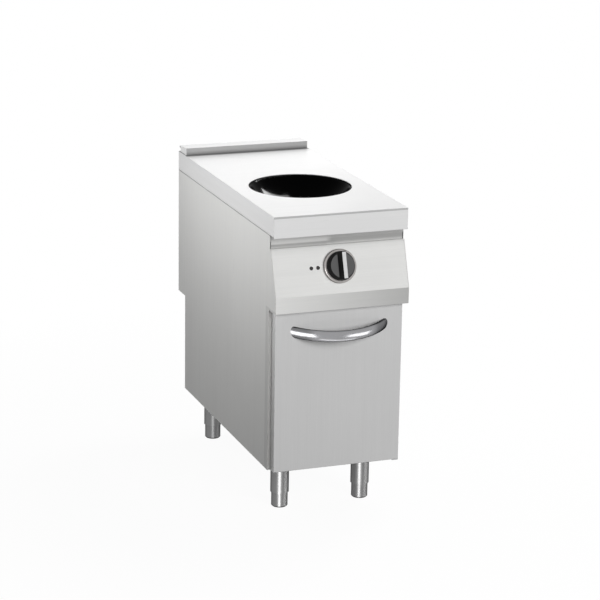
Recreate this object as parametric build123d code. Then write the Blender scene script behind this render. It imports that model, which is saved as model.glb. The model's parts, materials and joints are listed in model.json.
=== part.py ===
from build123d import *
import os
from math import asin, cos, degrees, hypot, radians, sin, sqrt

# Free-standing induction wok stove, one module of a cooking line, in millimetres.
# Front towards -Y, +Z up. The pieces are laid out from the front plane of the carcass (y = 0),
# and the set is then moved so that the origin lies on the floor below the middle of the object.

# Module
MODULE_WIDTH = 400.0        # outside of one side panel to the other
WORKTOP_HEIGHT = 900.0      # floor to worktop
LEG_HEIGHT = 152.0          # floor to the underside of the cabinet
CABINET_DEPTH = 778.0       # front plane to the lower back
PLENUM_DEPTH = 68.0         # exhaust space behind the back panel
PLENUM_DROP = 446.0         # worktop down to the floor of the exhaust space

# Sheets and fits
SHEET = 1.2
TOP_SHEET = 1.5
FIT = 0.3                   # gap between pieces that slip together
RUNNING_FIT = 0.05          # radial gap of a turning or threaded pin
HOLE_FIT = 0.25             # radial gap of a screw in its hole

# Worktop
NOSE_REACH = 31.0           # front skirt ahead of the front plane
NOSE_HEM = 12.0
FRONT_SKIRT = 62.0
SIDE_SKIRT = 58.0
WORKTOP_EDGE = 2.0
OPENING_MARGIN = 50.0       # side of the module to the bowl's opening
OPENING_Y = 305.0
OPENING_EDGE = 0.6
VENT_MARGIN = 26.0          # side of the module to the first exhaust slot
VENT_GAP = 16.0
VENT_WIDTH = 10.0
VENT_COUNT = 7

# Rear ledge
LEDGE_HEIGHT = 21.5         # front face
LEDGE_FALL = 8.0            # front top edge down to the middle of the bead
LEDGE_INSET = 3.0
LEDGE_OVERHANG = 12.0       # cheeks short of the rear edge
BEAD_RADIUS = 3.5
BEAD_WALL = 1.3

# Side panels
SEAM = 1.0                  # line between skirt and side panel
STEP_LAP = 18.0             # top strip behind the outer sheet
FRONT_FLANGE = 20.0
REAR_FLANGE = 18.0

# Control panel and the rail above it
PANEL_DROP = 96.5           # worktop down to the panel's top edge
PANEL_RISE = 130.0
PANEL_TOP_REACH = 7.5       # top edge ahead of the front plane
LIP_REACH = 51.5            # lip ahead of the front plane
LIP_HEIGHT = 46.5
RAIL_LAP = 12.0
RAIL_FLANGE = 22.0

# Controls
CONTROL_ROW = 61.5          # centre line of the controls, down the slope from the panel's top edge
KNOB_X = -3.0
KNOB_RADIUS = 41.5          # at the rim
KNOB_FACE = 35.5            # radius of the face inside the sloping skirt
KNOB_RIM = 2.5
KNOB_RISE = 12.5            # skirt, from the rim up to the face
KNOB_WALL = 4.0
KNOB_GAP = 1.5              # rim clear of the bezel
KNOB_EDGE = 1.5
GRIP_HEIGHT = 19.5
GRIP_FOOT = 26.0
GRIP_RIDGE = 11.0
POINTER_DEPTH = 4.0
POINTER_END = 3.0           # pointer short of the grip's end
BEZEL_LAP = 3.5             # under the knob's rim
BEZEL_WIDTH = 10.0
BEZEL_HEIGHT = 11.0
BEZEL_EDGE = 3.5
SHAFT_RADIUS = 3.0
BUSHING_RADIUS = 5.0
BUSHING_LENGTH = 6.0
HUB_RADIUS = 9.0
HUB_GAP = 1.0
SWITCH_RADIUS = 16.0
SWITCH_DEPTH = 18.0
LAMP_GAP = 15.5             # bezel to the middle of the nearer lamp
LAMP_PITCH = 20.0
LAMP_RADIUS = 5.6
LAMP_RISE = 3.0
LAMP_NECK = 4.0
LAMP_BODY = 6.5
BOARD_WIDTH = 150.0
BOARD_HEIGHT = 56.0
BOARD_SHEET = 1.6

# Carcass inside
FLOOR_LIP = 11.0
TRAY_LIP = 20.0
HEADER_SETBACK = 24.0
HEADER_FLANGE = 18.0
LOUVRE_LENGTH = 60.0
LOUVRE_WIDTH = 8.0
LOUVRE_PITCH_X = 90.0
LOUVRE_PITCH_Z = 26.0
LOUVRE_COLUMNS = 3
LOUVRE_ROWS = 5
LOUVRE_RISE = 90.0          # cabinet underside to the middle of the louvres

# Door
DOOR_INSET = 9.0
DOOR_THICKNESS = 27.5
DOOR_END_GAP = 1.0
DOOR_SHEET = 1.0
DOOR_EDGE = 2.0
PIVOT_MARGIN = 1.0          # bush to the return of the door's edge
PIN_RADIUS = 4.0
PIN_REACH = 13.0
PIN_HEAD = 1.5
BUSH_WALL = 1.9
BUSH_LENGTH = 17.0
BUSH_FLANGE = 2.5
HINGE_PLATE = 3.0
HINGE_MARGIN = 9.0          # hinge plate beyond the pivot
HINGE_TAIL = 16.0           # hinge plate behind the front plane
MAGNET_X = -90.0
MAGNET_WIDTH = 46.0
MAGNET_HEIGHT = 15.0
MAGNET_DROP = 18.0
STRIKE_SHEET = 2.0
STRIKE_MARGIN = 3.0
BUMPER_RADIUS = 4.0
BUMPER_INSET = 30.0

# Handle
HANDLE_MARGIN = 57.0        # side of the door to the handle's fixing
HANDLE_DROP = 62.0          # lip's foot down to the handle
HANDLE_BOW = 52.0
HANDLE_TILT = 8.5           # degrees that the bow hangs below level
HANDLE_THICKNESS = 16.0
HANDLE_WIDTH = 33.5
HANDLE_SCREW = 2.0
HANDLE_SCREW_REACH = 6.5
HANDLE_SCREW_HEAD = 4.5
HANDLE_HEAD_HEIGHT = 3.0

# Legs and feet
LEG_RADIUS = 27.0
LEG_WALL = 2.0
LEG_SIDE_INSET = 75.0
LEG_FRONT_INSET = 100.0
LEG_REAR_INSET = 55.0
LEG_PLATE = 3.0
LEG_PLATE_WIDTH = 88.0
LEG_PLUG = 22.0
FOOT_RADIUS = 24.0
FOOT_HEIGHT = 44.0
FOOT_EDGE = 3.0
FOOT_TRAVEL = 30.0
STEM_RADIUS = 10.0
STEM_SPARE = 10.0
BOLT_RADIUS = 4.0
BOLT_HEAD = 6.5
BOLT_HEAD_HEIGHT = 5.0
BOLT_EDGE = 11.0            # bolt from the edge of the leg's plate
BOLT_SPARE = 7.0

# Wok bowl and its mounting
BOWL_DEPTH = 80.0
BOWL_STEP = 4.0             # edge of the bowl inside the worktop's opening
BOWL_WALL = 6.0
BOWL_FLANGE = 16.0
SEAL_HEIGHT = 2.0
SEAL_INSET = 3.0
CLAMP_SHEET = 3.0
CLAMP_LAP = 8.0
CLAMP_EDGE = 7.0            # studs to the ring's outer edge
CLAMP_STUDS = 8
STUD_GAP = 7.0              # bowl's flange to the middle of the studs
STUD_RADIUS = 2.5
STUD_SPARE = 4.0
NUT_RADIUS = 4.6
NUT_HEIGHT = 4.0

# Heating
COIL_GAP = 3.0              # bowl to coil
COIL_WALL = 6.0
COIL_EYE = 34.0
COIL_DROP = 34.0            # bowl flange down to the coil's rim
CARRIER_WALL = 6.0
CARRIER_DROP = 26.0
CARRIER_BOSS = 30.0
FERRITE_WALL = 6.0
FERRITE_BARS = 8
FERRITE_ANGLE = 9.0
FERRITE_INNER = 42.0
FERRITE_SETBACK = 28.0      # bars short of the carrier's rim
BRIDGE_SHEET = 2.5
BRIDGE_WIDTH = 64.0
BRIDGE_GAP = 4.0            # heating parts to bridge
SENSOR_RADIUS = 7.5
SENSOR_FLANGE = 12.0
SENSOR_FLANGE_HEIGHT = 3.0
SENSOR_TAIL = 10.0

# Generator
GENERATOR_SETBACK = 98.0    # generator to the cabinet's back
GENERATOR_SIDE = 48.8       # generator to the side panels
GENERATOR_LENGTH = 350.0
GENERATOR_HEIGHT = 118.0
SINK_WIDTH = 140.0
SINK_LENGTH = 180.0
SINK_START = 60.0           # generator's front to the heat sink
SINK_BASE = 8.0
SINK_FIN = 2.5
SINK_FINS = 13
SINK_HEIGHT = 54.0
POWER_BOARD_MARGIN = 18.0   # board to the walls of the generator
POWER_BOARD_SHEET = 2.0
FAN_SIZE = 92.0
FAN_DEPTH = 25.0
FAN_RIM = 3.0
FAN_TIP_GAP = 1.5
FAN_HUB = 17.0
FAN_HUB_WALL = 2.0
FAN_SHAFT = 2.0
FAN_BEARING = 5.0
FAN_SPOKES = 4
FAN_SPOKE = 4.0
FAN_BLADES = 7
FAN_BLADE = 1.6
FAN_CHORD = 15.0
FAN_PITCH = 38.0
DUCT_WIDTH = 160.0
DUCT_RISE = 20.0            # duct above the generator's floor and below its lid

# Intake filter under the tray
INTAKE_WIDTH = 200.0
INTAKE_LENGTH = 170.0
INTAKE_FRONT = 80.0
FILTER_EDGE = 14.0
FILTER_HEIGHT = 10.0
FILTER_SLAT = 4.0
FILTER_SLATS = 12

# Supply
GLAND_X = 80.0
GLAND_BORE = 9.0
GLAND_THREAD = 15.5
GLAND_COLLAR = 20.0
GLAND_COLLAR_HEIGHT = 8.0
GLAND_DOME = 17.0
GLAND_DOME_HEIGHT = 20.0
GLAND_SPARE = 10.0
TERMINAL_WIDTH = 80.0
TERMINAL_DEPTH = 30.0
TERMINAL_HEIGHT = 40.0
TERMINAL_RISE = 60.0
STUD_X = -100.0
BOND_RADIUS = 4.0
BOND_COLLAR = 8.0
BOND_COLLAR_HEIGHT = 5.0
BOND_LENGTH = 18.0
BOND_SPARE = 6.0

# Rear cover screws
COVER_SCREW = 2.0
COVER_SCREW_HEAD = 4.0
COVER_HEAD_HEIGHT = 1.4
COVER_SCREW_REACH = 8.0
COVER_SCREW_ROWS = 3
COVER_SCREW_MARGIN = 40.0

# Places that follow from the sizes above
HALF = MODULE_WIDTH / 2
PANEL_INNER = HALF - SHEET
RIM_OUTER = HALF - TOP_SHEET - FIT
RIM_INNER = RIM_OUTER - SHEET
REAR = CABINET_DEPTH + PLENUM_DEPTH
WORKTOP_BACK = REAR + FIT + TOP_SHEET
TOP_UNDER = WORKTOP_HEIGHT - TOP_SHEET
SEAM_Z = WORKTOP_HEIGHT - SIDE_SKIRT - SEAM
STEP_Z = SEAM_Z - STEP_LAP
PLENUM_BASE = WORKTOP_HEIGHT - PLENUM_DROP
PANEL_TOP = WORKTOP_HEIGHT - PANEL_DROP
LIP_TOP = PANEL_TOP - PANEL_RISE
LIP_BOTTOM = LIP_TOP - LIP_HEIGHT
TRAY_TOP = LIP_BOTTOM + SHEET
PANEL_FORWARD = LIP_REACH - PANEL_TOP_REACH
PANEL_SLOPE = hypot(PANEL_FORWARD, PANEL_RISE)
OPENING_RADIUS = HALF - OPENING_MARGIN
VENT_ROW = MODULE_WIDTH - 2 * VENT_MARGIN
VENT_LENGTH = (VENT_ROW + VENT_GAP) / VENT_COUNT - VENT_GAP

KNOB_BASE = BEZEL_HEIGHT + KNOB_GAP
KNOB_SHOULDER = KNOB_BASE + KNOB_RIM
KNOB_LEVEL = KNOB_SHOULDER + KNOB_RISE
KNOB_TOP = KNOB_LEVEL + GRIP_HEIGHT
GRIP_REACH = KNOB_RADIUS - KNOB_EDGE
BEZEL_INNER = KNOB_RADIUS - BEZEL_LAP
LAMP_RIGHT = KNOB_X - BEZEL_INNER - BEZEL_WIDTH - LAMP_GAP
LAMP_LEFT = LAMP_RIGHT - LAMP_PITCH
KNOB_FRONT = -PANEL_TOP_REACH - (
    PANEL_FORWARD * (CONTROL_ROW + GRIP_REACH) + PANEL_RISE * KNOB_TOP) / PANEL_SLOPE

BUSH_RADIUS = PIN_RADIUS + RUNNING_FIT + BUSH_WALL
PIVOT_INSET = DOOR_SHEET + PIVOT_MARGIN + BUSH_RADIUS
DOOR_GAP = hypot(PIVOT_INSET, DOOR_THICKNESS / 2) - DOOR_THICKNESS / 2 + FIT
DOOR_HALF = HALF - DOOR_INSET
DOOR_BACK = -DOOR_GAP
DOOR_FRONT = DOOR_BACK - DOOR_THICKNESS
DOOR_BOTTOM = LEG_HEIGHT + DOOR_END_GAP
DOOR_TOP = LIP_BOTTOM - HINGE_PLATE - DOOR_END_GAP
PIVOT_X = DOOR_HALF - PIVOT_INSET
PIVOT_Y = (DOOR_FRONT + DOOR_BACK) / 2
HANDLE_HALF = DOOR_HALF - HANDLE_MARGIN
HANDLE_Z = LIP_BOTTOM - HANDLE_DROP
MAGNET_FRONT = DOOR_BACK + STRIKE_SHEET + FIT
MAGNET_TOP = LIP_BOTTOM - MAGNET_DROP
MAGNET_BOTTOM = MAGNET_TOP - MAGNET_HEIGHT
STRIKE_BOTTOM = MAGNET_BOTTOM - STRIKE_MARGIN

LEG_X = HALF - LEG_SIDE_INSET
LEG_FRONT_Y = LEG_FRONT_INSET
LEG_REAR_Y = CABINET_DEPTH - LEG_REAR_INSET
BOLT_OFFSET = LEG_PLATE_WIDTH / 2 - BOLT_EDGE

BOWL_TOP = TOP_UNDER - SEAL_HEIGHT
BOWL_RADIUS = OPENING_RADIUS - BOWL_STEP
BOWL_OUTER = BOWL_RADIUS + BOWL_FLANGE
STUD_CIRCLE = BOWL_OUTER + STUD_GAP
CLAMP_RADIUS = STUD_CIRCLE + CLAMP_EDGE
BOWL_SPHERE = (BOWL_RADIUS ** 2 + BOWL_DEPTH ** 2) / (2 * BOWL_DEPTH)
SPHERE_Z = BOWL_TOP - BOWL_DEPTH + BOWL_SPHERE
GLASS_SPHERE = BOWL_SPHERE + BOWL_WALL
COIL_SPHERE = GLASS_SPHERE + COIL_GAP
CARRIER_SPHERE = COIL_SPHERE + COIL_WALL + FIT
FERRITE_SPHERE = CARRIER_SPHERE + CARRIER_WALL + FIT
CLAMP_TOP = BOWL_TOP - BOWL_WALL
CLAMP_BOTTOM = CLAMP_TOP - CLAMP_SHEET
BRIDGE_TOP = SPHERE_Z - FERRITE_SPHERE - FERRITE_WALL - BRIDGE_GAP
CARRIER_RIM_Z = BOWL_TOP - CARRIER_DROP
CARRIER_RIM = sqrt((CARRIER_SPHERE + CARRIER_WALL) ** 2 - (SPHERE_Z - CARRIER_RIM_Z) ** 2)
FERRITE_OUTER = CARRIER_RIM - FERRITE_SETBACK
BRIDGE_LEG = CARRIER_RIM + BRIDGE_GAP

GENERATOR_HALF = PANEL_INNER - GENERATOR_SIDE
GENERATOR_BACK = CABINET_DEPTH - GENERATOR_SETBACK
GENERATOR_FRONT = GENERATOR_BACK - GENERATOR_LENGTH
GENERATOR_FLOOR = TRAY_TOP + SHEET
GENERATOR_TOP = TRAY_TOP + GENERATOR_HEIGHT
FAN_BORE = FAN_SIZE / 2 - FAN_RIM
FAN_Y = GENERATOR_FRONT + SHEET
FAN_Z = GENERATOR_FLOOR + FIT + FAN_SIZE / 2
DUCT_BASE = TRAY_TOP + DUCT_RISE
DUCT_TOP = GENERATOR_TOP - DUCT_RISE
SINK_FRONT = GENERATOR_FRONT + SINK_START
SINK_TOP = GENERATOR_FLOOR + SINK_HEIGHT
SUPPLY_Y = CABINET_DEPTH + PLENUM_DEPTH / 2

BOW_DROP = sin(radians(HANDLE_TILT))
BOW_OUT = cos(radians(HANDLE_TILT))
HANDLE_FRONT = DOOR_FRONT - HANDLE_BOW * BOW_OUT - hypot(
    HANDLE_THICKNESS / 2 * BOW_OUT, HANDLE_WIDTH / 2 * BOW_DROP)
ORIGIN_SHIFT = Pos(0, -(min(HANDLE_FRONT, KNOB_FRONT) + WORKTOP_BACK) / 2, 0)

STANDING = (Align.CENTER, Align.CENTER, Align.MIN)


def block(x, y, z):
    """Box between three (low, high) pairs."""
    pairs = (x, y, z)
    centre = [(low + high) / 2 for low, high in pairs]
    return Pos(*centre) * Box(*[high - low for low, high in pairs])


def disc(radius, x, y, z):
    """Upright cylinder about (x, y) between the two heights of z."""
    low, high = z
    return Pos(x, y, low) * Cylinder(radius, high - low, align=STANDING)


def stub(radius, low, high):
    """Cylinder about the local Z axis."""
    return disc(radius, 0, 0, (low, high))


def taper(low_radius, high_radius, low, high):
    """Cone about the local Z axis, cut off at both ends."""
    return Pos(0, 0, low) * Cone(low_radius, high_radius, high - low, align=STANDING)


def bar_y(radius, x, y, z):
    """Cylinder along Y between the two values of y."""
    low, high = y
    return Plane(origin=(x, low, z), z_dir=(0, 1, 0)) * Cylinder(radius, high - low, align=STANDING)


def drawn(points, half_width):
    """Outline of (y, z) points drawn out along X, as far to each side."""
    line = Polyline([(-half_width, y, z) for y, z in points], close=True)
    return extrude(make_face(line), amount=2 * half_width, dir=(1, 0, 0))


def left_normals(points):
    """Unit normals to the left of each run of a line of (y, z) points."""
    normals = []
    for (y0, z0), (y1, z1) in zip(points, points[1:]):
        length = hypot(y1 - y0, z1 - z0)
        normals.append(((z0 - z1) / length, (y1 - y0) / length))
    return normals


def folded(points, thickness):
    """Closed outline of a folded sheet that lies to the left of a line of (y, z) points."""
    normals = left_normals(points)
    before = normals[:1] + normals
    after = normals + normals[-1:]
    inside = []
    for (y, z), (a, b), (c, d) in zip(points, before, after):
        reach = thickness / (1 + a * c + b * d)
        inside.append((y + (a + c) * reach, z + (b + d) * reach))
    return points + inside[::-1]


def pan(x, y, z, thickness):
    """Open-topped sheet tray."""
    hollow = block(
        (x[0] + thickness, x[1] - thickness),
        (y[0] + thickness, y[1] - thickness),
        (z[0] + thickness, z[1] + thickness),
    )
    return block(x, y, z) - hollow


def spread(count, pitch):
    """Places of a row, even about zero."""
    return [(index - (count - 1) / 2) * pitch for index in range(count)]


def slot_up(x, y, z, length, width):
    """Round-ended slot along X, cut upwards between the two heights of z."""
    low, high = z
    return Pos(x, y, low) * extrude(SlotOverall(length, width), amount=high - low)


def slot_back(x, y, z, length, width):
    """Round-ended slot along X, cut along Y between the two values of y."""
    low, high = y
    face = Plane(origin=(x, low, z), x_dir=(1, 0, 0), z_dir=(0, 1, 0)) * SlotOverall(length, width)
    return extrude(face, amount=high - low)


def bowl_layer(inner, outer, rim):
    """Part of a hollow sphere about the bowl's centre, below the height of its rim."""
    centre = Pos(0, OPENING_Y, SPHERE_Z)
    below = disc(2 * outer, 0, OPENING_Y, (SPHERE_Z - 2 * outer, rim))
    return (centre * Sphere(outer) & below) - centre * Sphere(inner)


def skirted_top(skirt):
    """Top sheet with skirts of one height all round, its outer edges rounded."""
    height = (WORKTOP_HEIGHT - skirt, WORKTOP_HEIGHT)
    outer = block((-HALF, HALF), (-NOSE_REACH, WORKTOP_BACK), height)
    rounded = outer.edges().filter_by(Axis.Z) + outer.faces().sort_by(Axis.Z)[-1].edges()
    hollow = block(
        (-HALF + TOP_SHEET, HALF - TOP_SHEET),
        (-NOSE_REACH + TOP_SHEET, WORKTOP_BACK - TOP_SHEET),
        (height[0], TOP_UNDER),
    )
    return fillet(rounded, WORKTOP_EDGE) - hollow


def worktop():
    """Folded top sheet with skirts, the bowl's opening and the exhaust slots."""
    inside = -NOSE_REACH + TOP_SHEET
    nose = block((-HALF, HALF), (-NOSE_REACH, inside), (LEG_HEIGHT, WORKTOP_HEIGHT))
    top = (skirted_top(SIDE_SKIRT) - nose) + (skirted_top(FRONT_SKIRT) & nose)
    top += block(
        (-HALF + TOP_SHEET, HALF - TOP_SHEET),
        (inside, -NOSE_REACH + NOSE_HEM),
        (WORKTOP_HEIGHT - FRONT_SKIRT, WORKTOP_HEIGHT - FRONT_SKIRT + TOP_SHEET),
    )
    top -= disc(OPENING_RADIUS, 0, OPENING_Y, (TOP_UNDER, WORKTOP_HEIGHT))
    circles = top.edges().filter_by(GeomType.CIRCLE)
    rim = circles.group_by(SortBy.RADIUS)[-1].sort_by(Axis.Z)[-1]
    top = fillet(rim, OPENING_EDGE)
    vent_y = (CABINET_DEPTH + REAR) / 2
    for x in spread(VENT_COUNT, VENT_LENGTH + VENT_GAP):
        top -= slot_up(x, vent_y, (TOP_UNDER, WORKTOP_HEIGHT), VENT_LENGTH, VENT_WIDTH)
    return top


def rear_ledge():
    """Hood over the exhaust slots: front wall, falling top with a rolled rear edge, end cheeks."""
    half = HALF - LEDGE_INSET
    front, top = CABINET_DEPTH, WORKTOP_HEIGHT + LEDGE_HEIGHT
    bead_y, bead_z = WORKTOP_BACK - BEAD_RADIUS, top - LEDGE_FALL
    line = [(bead_y, bead_z + BEAD_RADIUS), (front, top), (front, WORKTOP_HEIGHT)]
    sheet = drawn(folded(line, SHEET), half)
    cheek_back = WORKTOP_BACK - LEDGE_OVERHANG
    under = drawn(line + [(cheek_back, WORKTOP_HEIGHT), (cheek_back, bead_z), (bead_y, bead_z)], half)
    hollow = block((-half + SHEET, half - SHEET), (front, WORKTOP_BACK), (WORKTOP_HEIGHT, top))
    across = Plane(origin=(-half, bead_y, bead_z), z_dir=(1, 0, 0))
    bead = across * Cylinder(BEAD_RADIUS, 2 * half, align=STANDING)
    bore = across * Cylinder(BEAD_RADIUS - BEAD_WALL, 2 * half, align=STANDING)
    return sheet + (under - hollow) + bead - bore


def right_side_panel():
    """Outer sheet that runs on as the control panel's cheek and as the side of the exhaust space."""
    outline = [
        (0, LEG_HEIGHT),
        (CABINET_DEPTH, LEG_HEIGHT),
        (CABINET_DEPTH, PLENUM_BASE),
        (REAR, PLENUM_BASE),
        (REAR, SEAM_Z),
        (0, SEAM_Z),
        (0, PANEL_TOP),
        (-PANEL_TOP_REACH, PANEL_TOP),
        (-LIP_REACH, LIP_TOP),
        (-LIP_REACH, LIP_BOTTOM),
        (0, LIP_BOTTOM),
    ]
    sheet = drawn(outline, HALF) & block((PANEL_INNER, HALF), (-LIP_REACH, REAR), (0, SEAM_Z))
    lap = block((RIM_INNER, PANEL_INNER), (0, REAR), (STEP_Z, SEAM_Z))
    strip = block((RIM_INNER, RIM_OUTER), (0, REAR), (SEAM_Z, TOP_UNDER))
    front_flange = block(
        (PANEL_INNER - FRONT_FLANGE, PANEL_INNER),
        (0, SHEET),
        (LEG_HEIGHT, LIP_BOTTOM - HINGE_PLATE - FIT),
    )
    rear_flange = block(
        (PANEL_INNER - REAR_FLANGE, PANEL_INNER),
        (REAR - 2 * SHEET, REAR - SHEET),
        (PLENUM_BASE + SHEET + FIT, STEP_Z - FIT),
    )
    panel = sheet + lap + strip + front_flange + rear_flange
    for x, z in cover_screw_places():
        if x > 0:
            panel -= bar_y(COVER_SCREW + HOLE_FIT, x, (REAR - 2 * SHEET, REAR - SHEET), z)
    return panel


def front_rail():
    """Channel across the front that closes the recess below the nose."""
    line = [
        (RAIL_FLANGE, TOP_UNDER),
        (0, TOP_UNDER),
        (0, PANEL_TOP - RAIL_LAP),
        (RAIL_FLANGE, PANEL_TOP - RAIL_LAP),
    ]
    return drawn(folded(line, SHEET), RIM_INNER - FIT)


def control_panel():
    """Folded panel: top flange, inclined face, lip and bottom flange, with holes for the controls."""
    line = [
        (0, PANEL_TOP),
        (-PANEL_TOP_REACH, PANEL_TOP),
        (-LIP_REACH, LIP_TOP),
        (-LIP_REACH, LIP_BOTTOM),
        (0, LIP_BOTTOM),
    ]
    panel = drawn(folded(line, SHEET), PANEL_INNER - FIT)
    panel -= on_panel(KNOB_X) * stub(BUSHING_RADIUS + HOLE_FIT, -2 * SHEET, SHEET)
    for x in (LAMP_LEFT, LAMP_RIGHT):
        panel -= on_panel(x) * stub(LAMP_NECK + HOLE_FIT, -2 * SHEET, SHEET)
    return panel


def on_panel(x):
    """Plane on the panel's face in the row of controls: X right, Y up the slope, Z outwards."""
    share = CONTROL_ROW / PANEL_SLOPE
    place = (x, -PANEL_TOP_REACH - PANEL_FORWARD * share, PANEL_TOP - PANEL_RISE * share)
    return Plane(origin=place, x_dir=(1, 0, 0), z_dir=(0, -PANEL_RISE, PANEL_FORWARD))


def knob_bezel():
    """Ring on the panel round the knob."""
    ring = stub(BEZEL_INNER + BEZEL_WIDTH, 0, BEZEL_HEIGHT) - stub(BEZEL_INNER, 0, BEZEL_HEIGHT)
    outer_edge = ring.faces().sort_by(Axis.Z)[-1].edges().sort_by(SortBy.RADIUS)[-1]
    return on_panel(KNOB_X) * fillet(outer_edge, BEZEL_EDGE)


def grip():
    """Bar across the knob, tapered above the face, its ends round like the rim."""
    section = Polyline(
        (-GRIP_FOOT / 2, -KNOB_RADIUS, KNOB_SHOULDER),
        (GRIP_FOOT / 2, -KNOB_RADIUS, KNOB_SHOULDER),
        (GRIP_FOOT / 2, -KNOB_RADIUS, KNOB_LEVEL),
        (GRIP_RIDGE / 2, -KNOB_RADIUS, KNOB_TOP),
        (-GRIP_RIDGE / 2, -KNOB_RADIUS, KNOB_TOP),
        (-GRIP_FOOT / 2, -KNOB_RADIUS, KNOB_LEVEL),
        close=True,
    )
    bar = extrude(make_face(section), amount=2 * KNOB_RADIUS, dir=(0, 1, 0))
    return bar & stub(GRIP_REACH, KNOB_SHOULDER, KNOB_TOP)


def pointer_block(slack):
    """Strip along the ridge of the grip."""
    half = GRIP_RIDGE / 2
    reach = GRIP_REACH - POINTER_END + slack
    return block((-half, half), (-reach, reach), (KNOB_TOP - POINTER_DEPTH - slack, KNOB_TOP))


def control_knob():
    """Hollow body with a sloping skirt, a hub on the shaft and a raised grip."""
    body = stub(KNOB_RADIUS, KNOB_BASE, KNOB_SHOULDER)
    body += taper(KNOB_RADIUS, KNOB_FACE, KNOB_SHOULDER, KNOB_LEVEL)
    body = fillet(body.faces().sort_by(Axis.Z)[-1].edges(), KNOB_EDGE) + grip()
    body -= stub(KNOB_RADIUS - KNOB_WALL, KNOB_BASE, KNOB_SHOULDER)
    body -= taper(KNOB_RADIUS - KNOB_WALL, KNOB_FACE - KNOB_WALL, KNOB_SHOULDER, KNOB_LEVEL - KNOB_WALL)
    body += stub(HUB_RADIUS, BUSHING_LENGTH + HUB_GAP, KNOB_LEVEL)
    body -= pointer_block(FIT / 2)
    body -= stub(SHAFT_RADIUS + RUNNING_FIT, 0, KNOB_LEVEL - KNOB_WALL / 2)
    return on_panel(KNOB_X) * body


def knob_pointer():
    """Bright strip let into the grip's ridge."""
    section = grip() & pointer_block(0)
    return on_panel(KNOB_X) * section


def selector_shaft():
    """Shaft from the switch into the knob."""
    top = KNOB_LEVEL - KNOB_WALL / 2 - FIT
    return on_panel(KNOB_X) * stub(SHAFT_RADIUS, -SHEET - SWITCH_DEPTH / 2, top)


def selector_switch():
    """Rotary switch behind the panel, with its bushing through the hole."""
    body = stub(SWITCH_RADIUS, -SHEET - SWITCH_DEPTH, -SHEET) + stub(BUSHING_RADIUS, -SHEET, BUSHING_LENGTH)
    bore = stub(SHAFT_RADIUS + RUNNING_FIT, -SHEET - SWITCH_DEPTH / 2 - FIT, BUSHING_LENGTH)
    return on_panel(KNOB_X) * (body - bore)


def indicator_lamp(x):
    """Lamp with a low domed lens on the panel and its body behind."""
    sphere = (LAMP_RADIUS ** 2 + LAMP_RISE ** 2) / (2 * LAMP_RISE)
    lens = Pos(0, 0, LAMP_RISE - sphere) * Sphere(sphere) & stub(2 * sphere, 0, 2 * sphere)
    body = stub(LAMP_BODY, -SHEET - SWITCH_DEPTH, -SHEET) + stub(LAMP_NECK, -SHEET, 0)
    return on_panel(x) * (lens + body)


def control_board():
    """Circuit board behind the switch and the lamps."""
    front = -SHEET - SWITCH_DEPTH
    middle = (LAMP_LEFT + KNOB_X) / 2
    half = BOARD_WIDTH / 2
    board = block((-half, half), (-BOARD_HEIGHT / 2, BOARD_HEIGHT / 2), (front - BOARD_SHEET, front))
    return on_panel(middle) * board


def cross_wall(y, z_low):
    """Sheet across the carcass up to the worktop, narrower where the side panels step in."""
    depth = (y, y + SHEET)
    lower = block((-PANEL_INNER + FIT, PANEL_INNER - FIT), depth, (z_low, STEP_Z - FIT))
    upper = block((-RIM_INNER + FIT, RIM_INNER - FIT), depth, (z_low, TOP_UNDER))
    return lower + upper


def floor_pan():
    """Cabinet floor with turned-up edges and the bolt holes of the legs."""
    floor = pan(
        (-PANEL_INNER + FIT, PANEL_INNER - FIT),
        (SHEET + FIT, CABINET_DEPTH - SHEET - FIT),
        (LEG_HEIGHT, LEG_HEIGHT + FLOOR_LIP),
        SHEET,
    )
    for x, y in leg_places():
        for bolt_x, bolt_y in bolt_places(x, y):
            floor -= disc(BOLT_RADIUS + HOLE_FIT, bolt_x, bolt_y, (LEG_HEIGHT, LEG_HEIGHT + SHEET))
    return floor


def back_panel():
    """Back of the cabinet, with intake louvres and the exhaust opening."""
    depth = (CABINET_DEPTH - SHEET, CABINET_DEPTH)
    panel = cross_wall(depth[0], LEG_HEIGHT)
    half = DUCT_WIDTH / 2 - SHEET
    panel -= block((-half, half), depth, (DUCT_BASE + SHEET, DUCT_TOP - SHEET))
    middle = LEG_HEIGHT + LOUVRE_RISE
    for x in spread(LOUVRE_COLUMNS, LOUVRE_PITCH_X):
        for z in spread(LOUVRE_ROWS, LOUVRE_PITCH_Z):
            panel -= slot_back(x, depth, middle + z, LOUVRE_LENGTH, LOUVRE_WIDTH)
    return panel


def cover_screw_places():
    """X and height of the rear cover's screws."""
    x = PANEL_INNER - REAR_FLANGE / 2
    low = PLENUM_BASE + COVER_SCREW_MARGIN
    high = STEP_Z - COVER_SCREW_MARGIN
    step = (high - low) / (COVER_SCREW_ROWS - 1)
    return [(side * x, low + row * step) for side in (-1, 1) for row in range(COVER_SCREW_ROWS)]


def rear_cover():
    """Back wall and floor of the exhaust space."""
    cover = cross_wall(REAR - SHEET, PLENUM_BASE)
    floor = (PLENUM_BASE, PLENUM_BASE + SHEET)
    cover += block((-PANEL_INNER + FIT, PANEL_INNER - FIT), (CABINET_DEPTH + FIT, REAR), floor)
    cover -= disc(GLAND_THREAD + HOLE_FIT, GLAND_X, SUPPLY_Y, floor)
    cover -= disc(BOND_RADIUS + HOLE_FIT, STUD_X, SUPPLY_Y, floor)
    for x, z in cover_screw_places():
        cover -= bar_y(COVER_SCREW + HOLE_FIT, x, (REAR - SHEET, REAR), z)
    return cover


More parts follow.
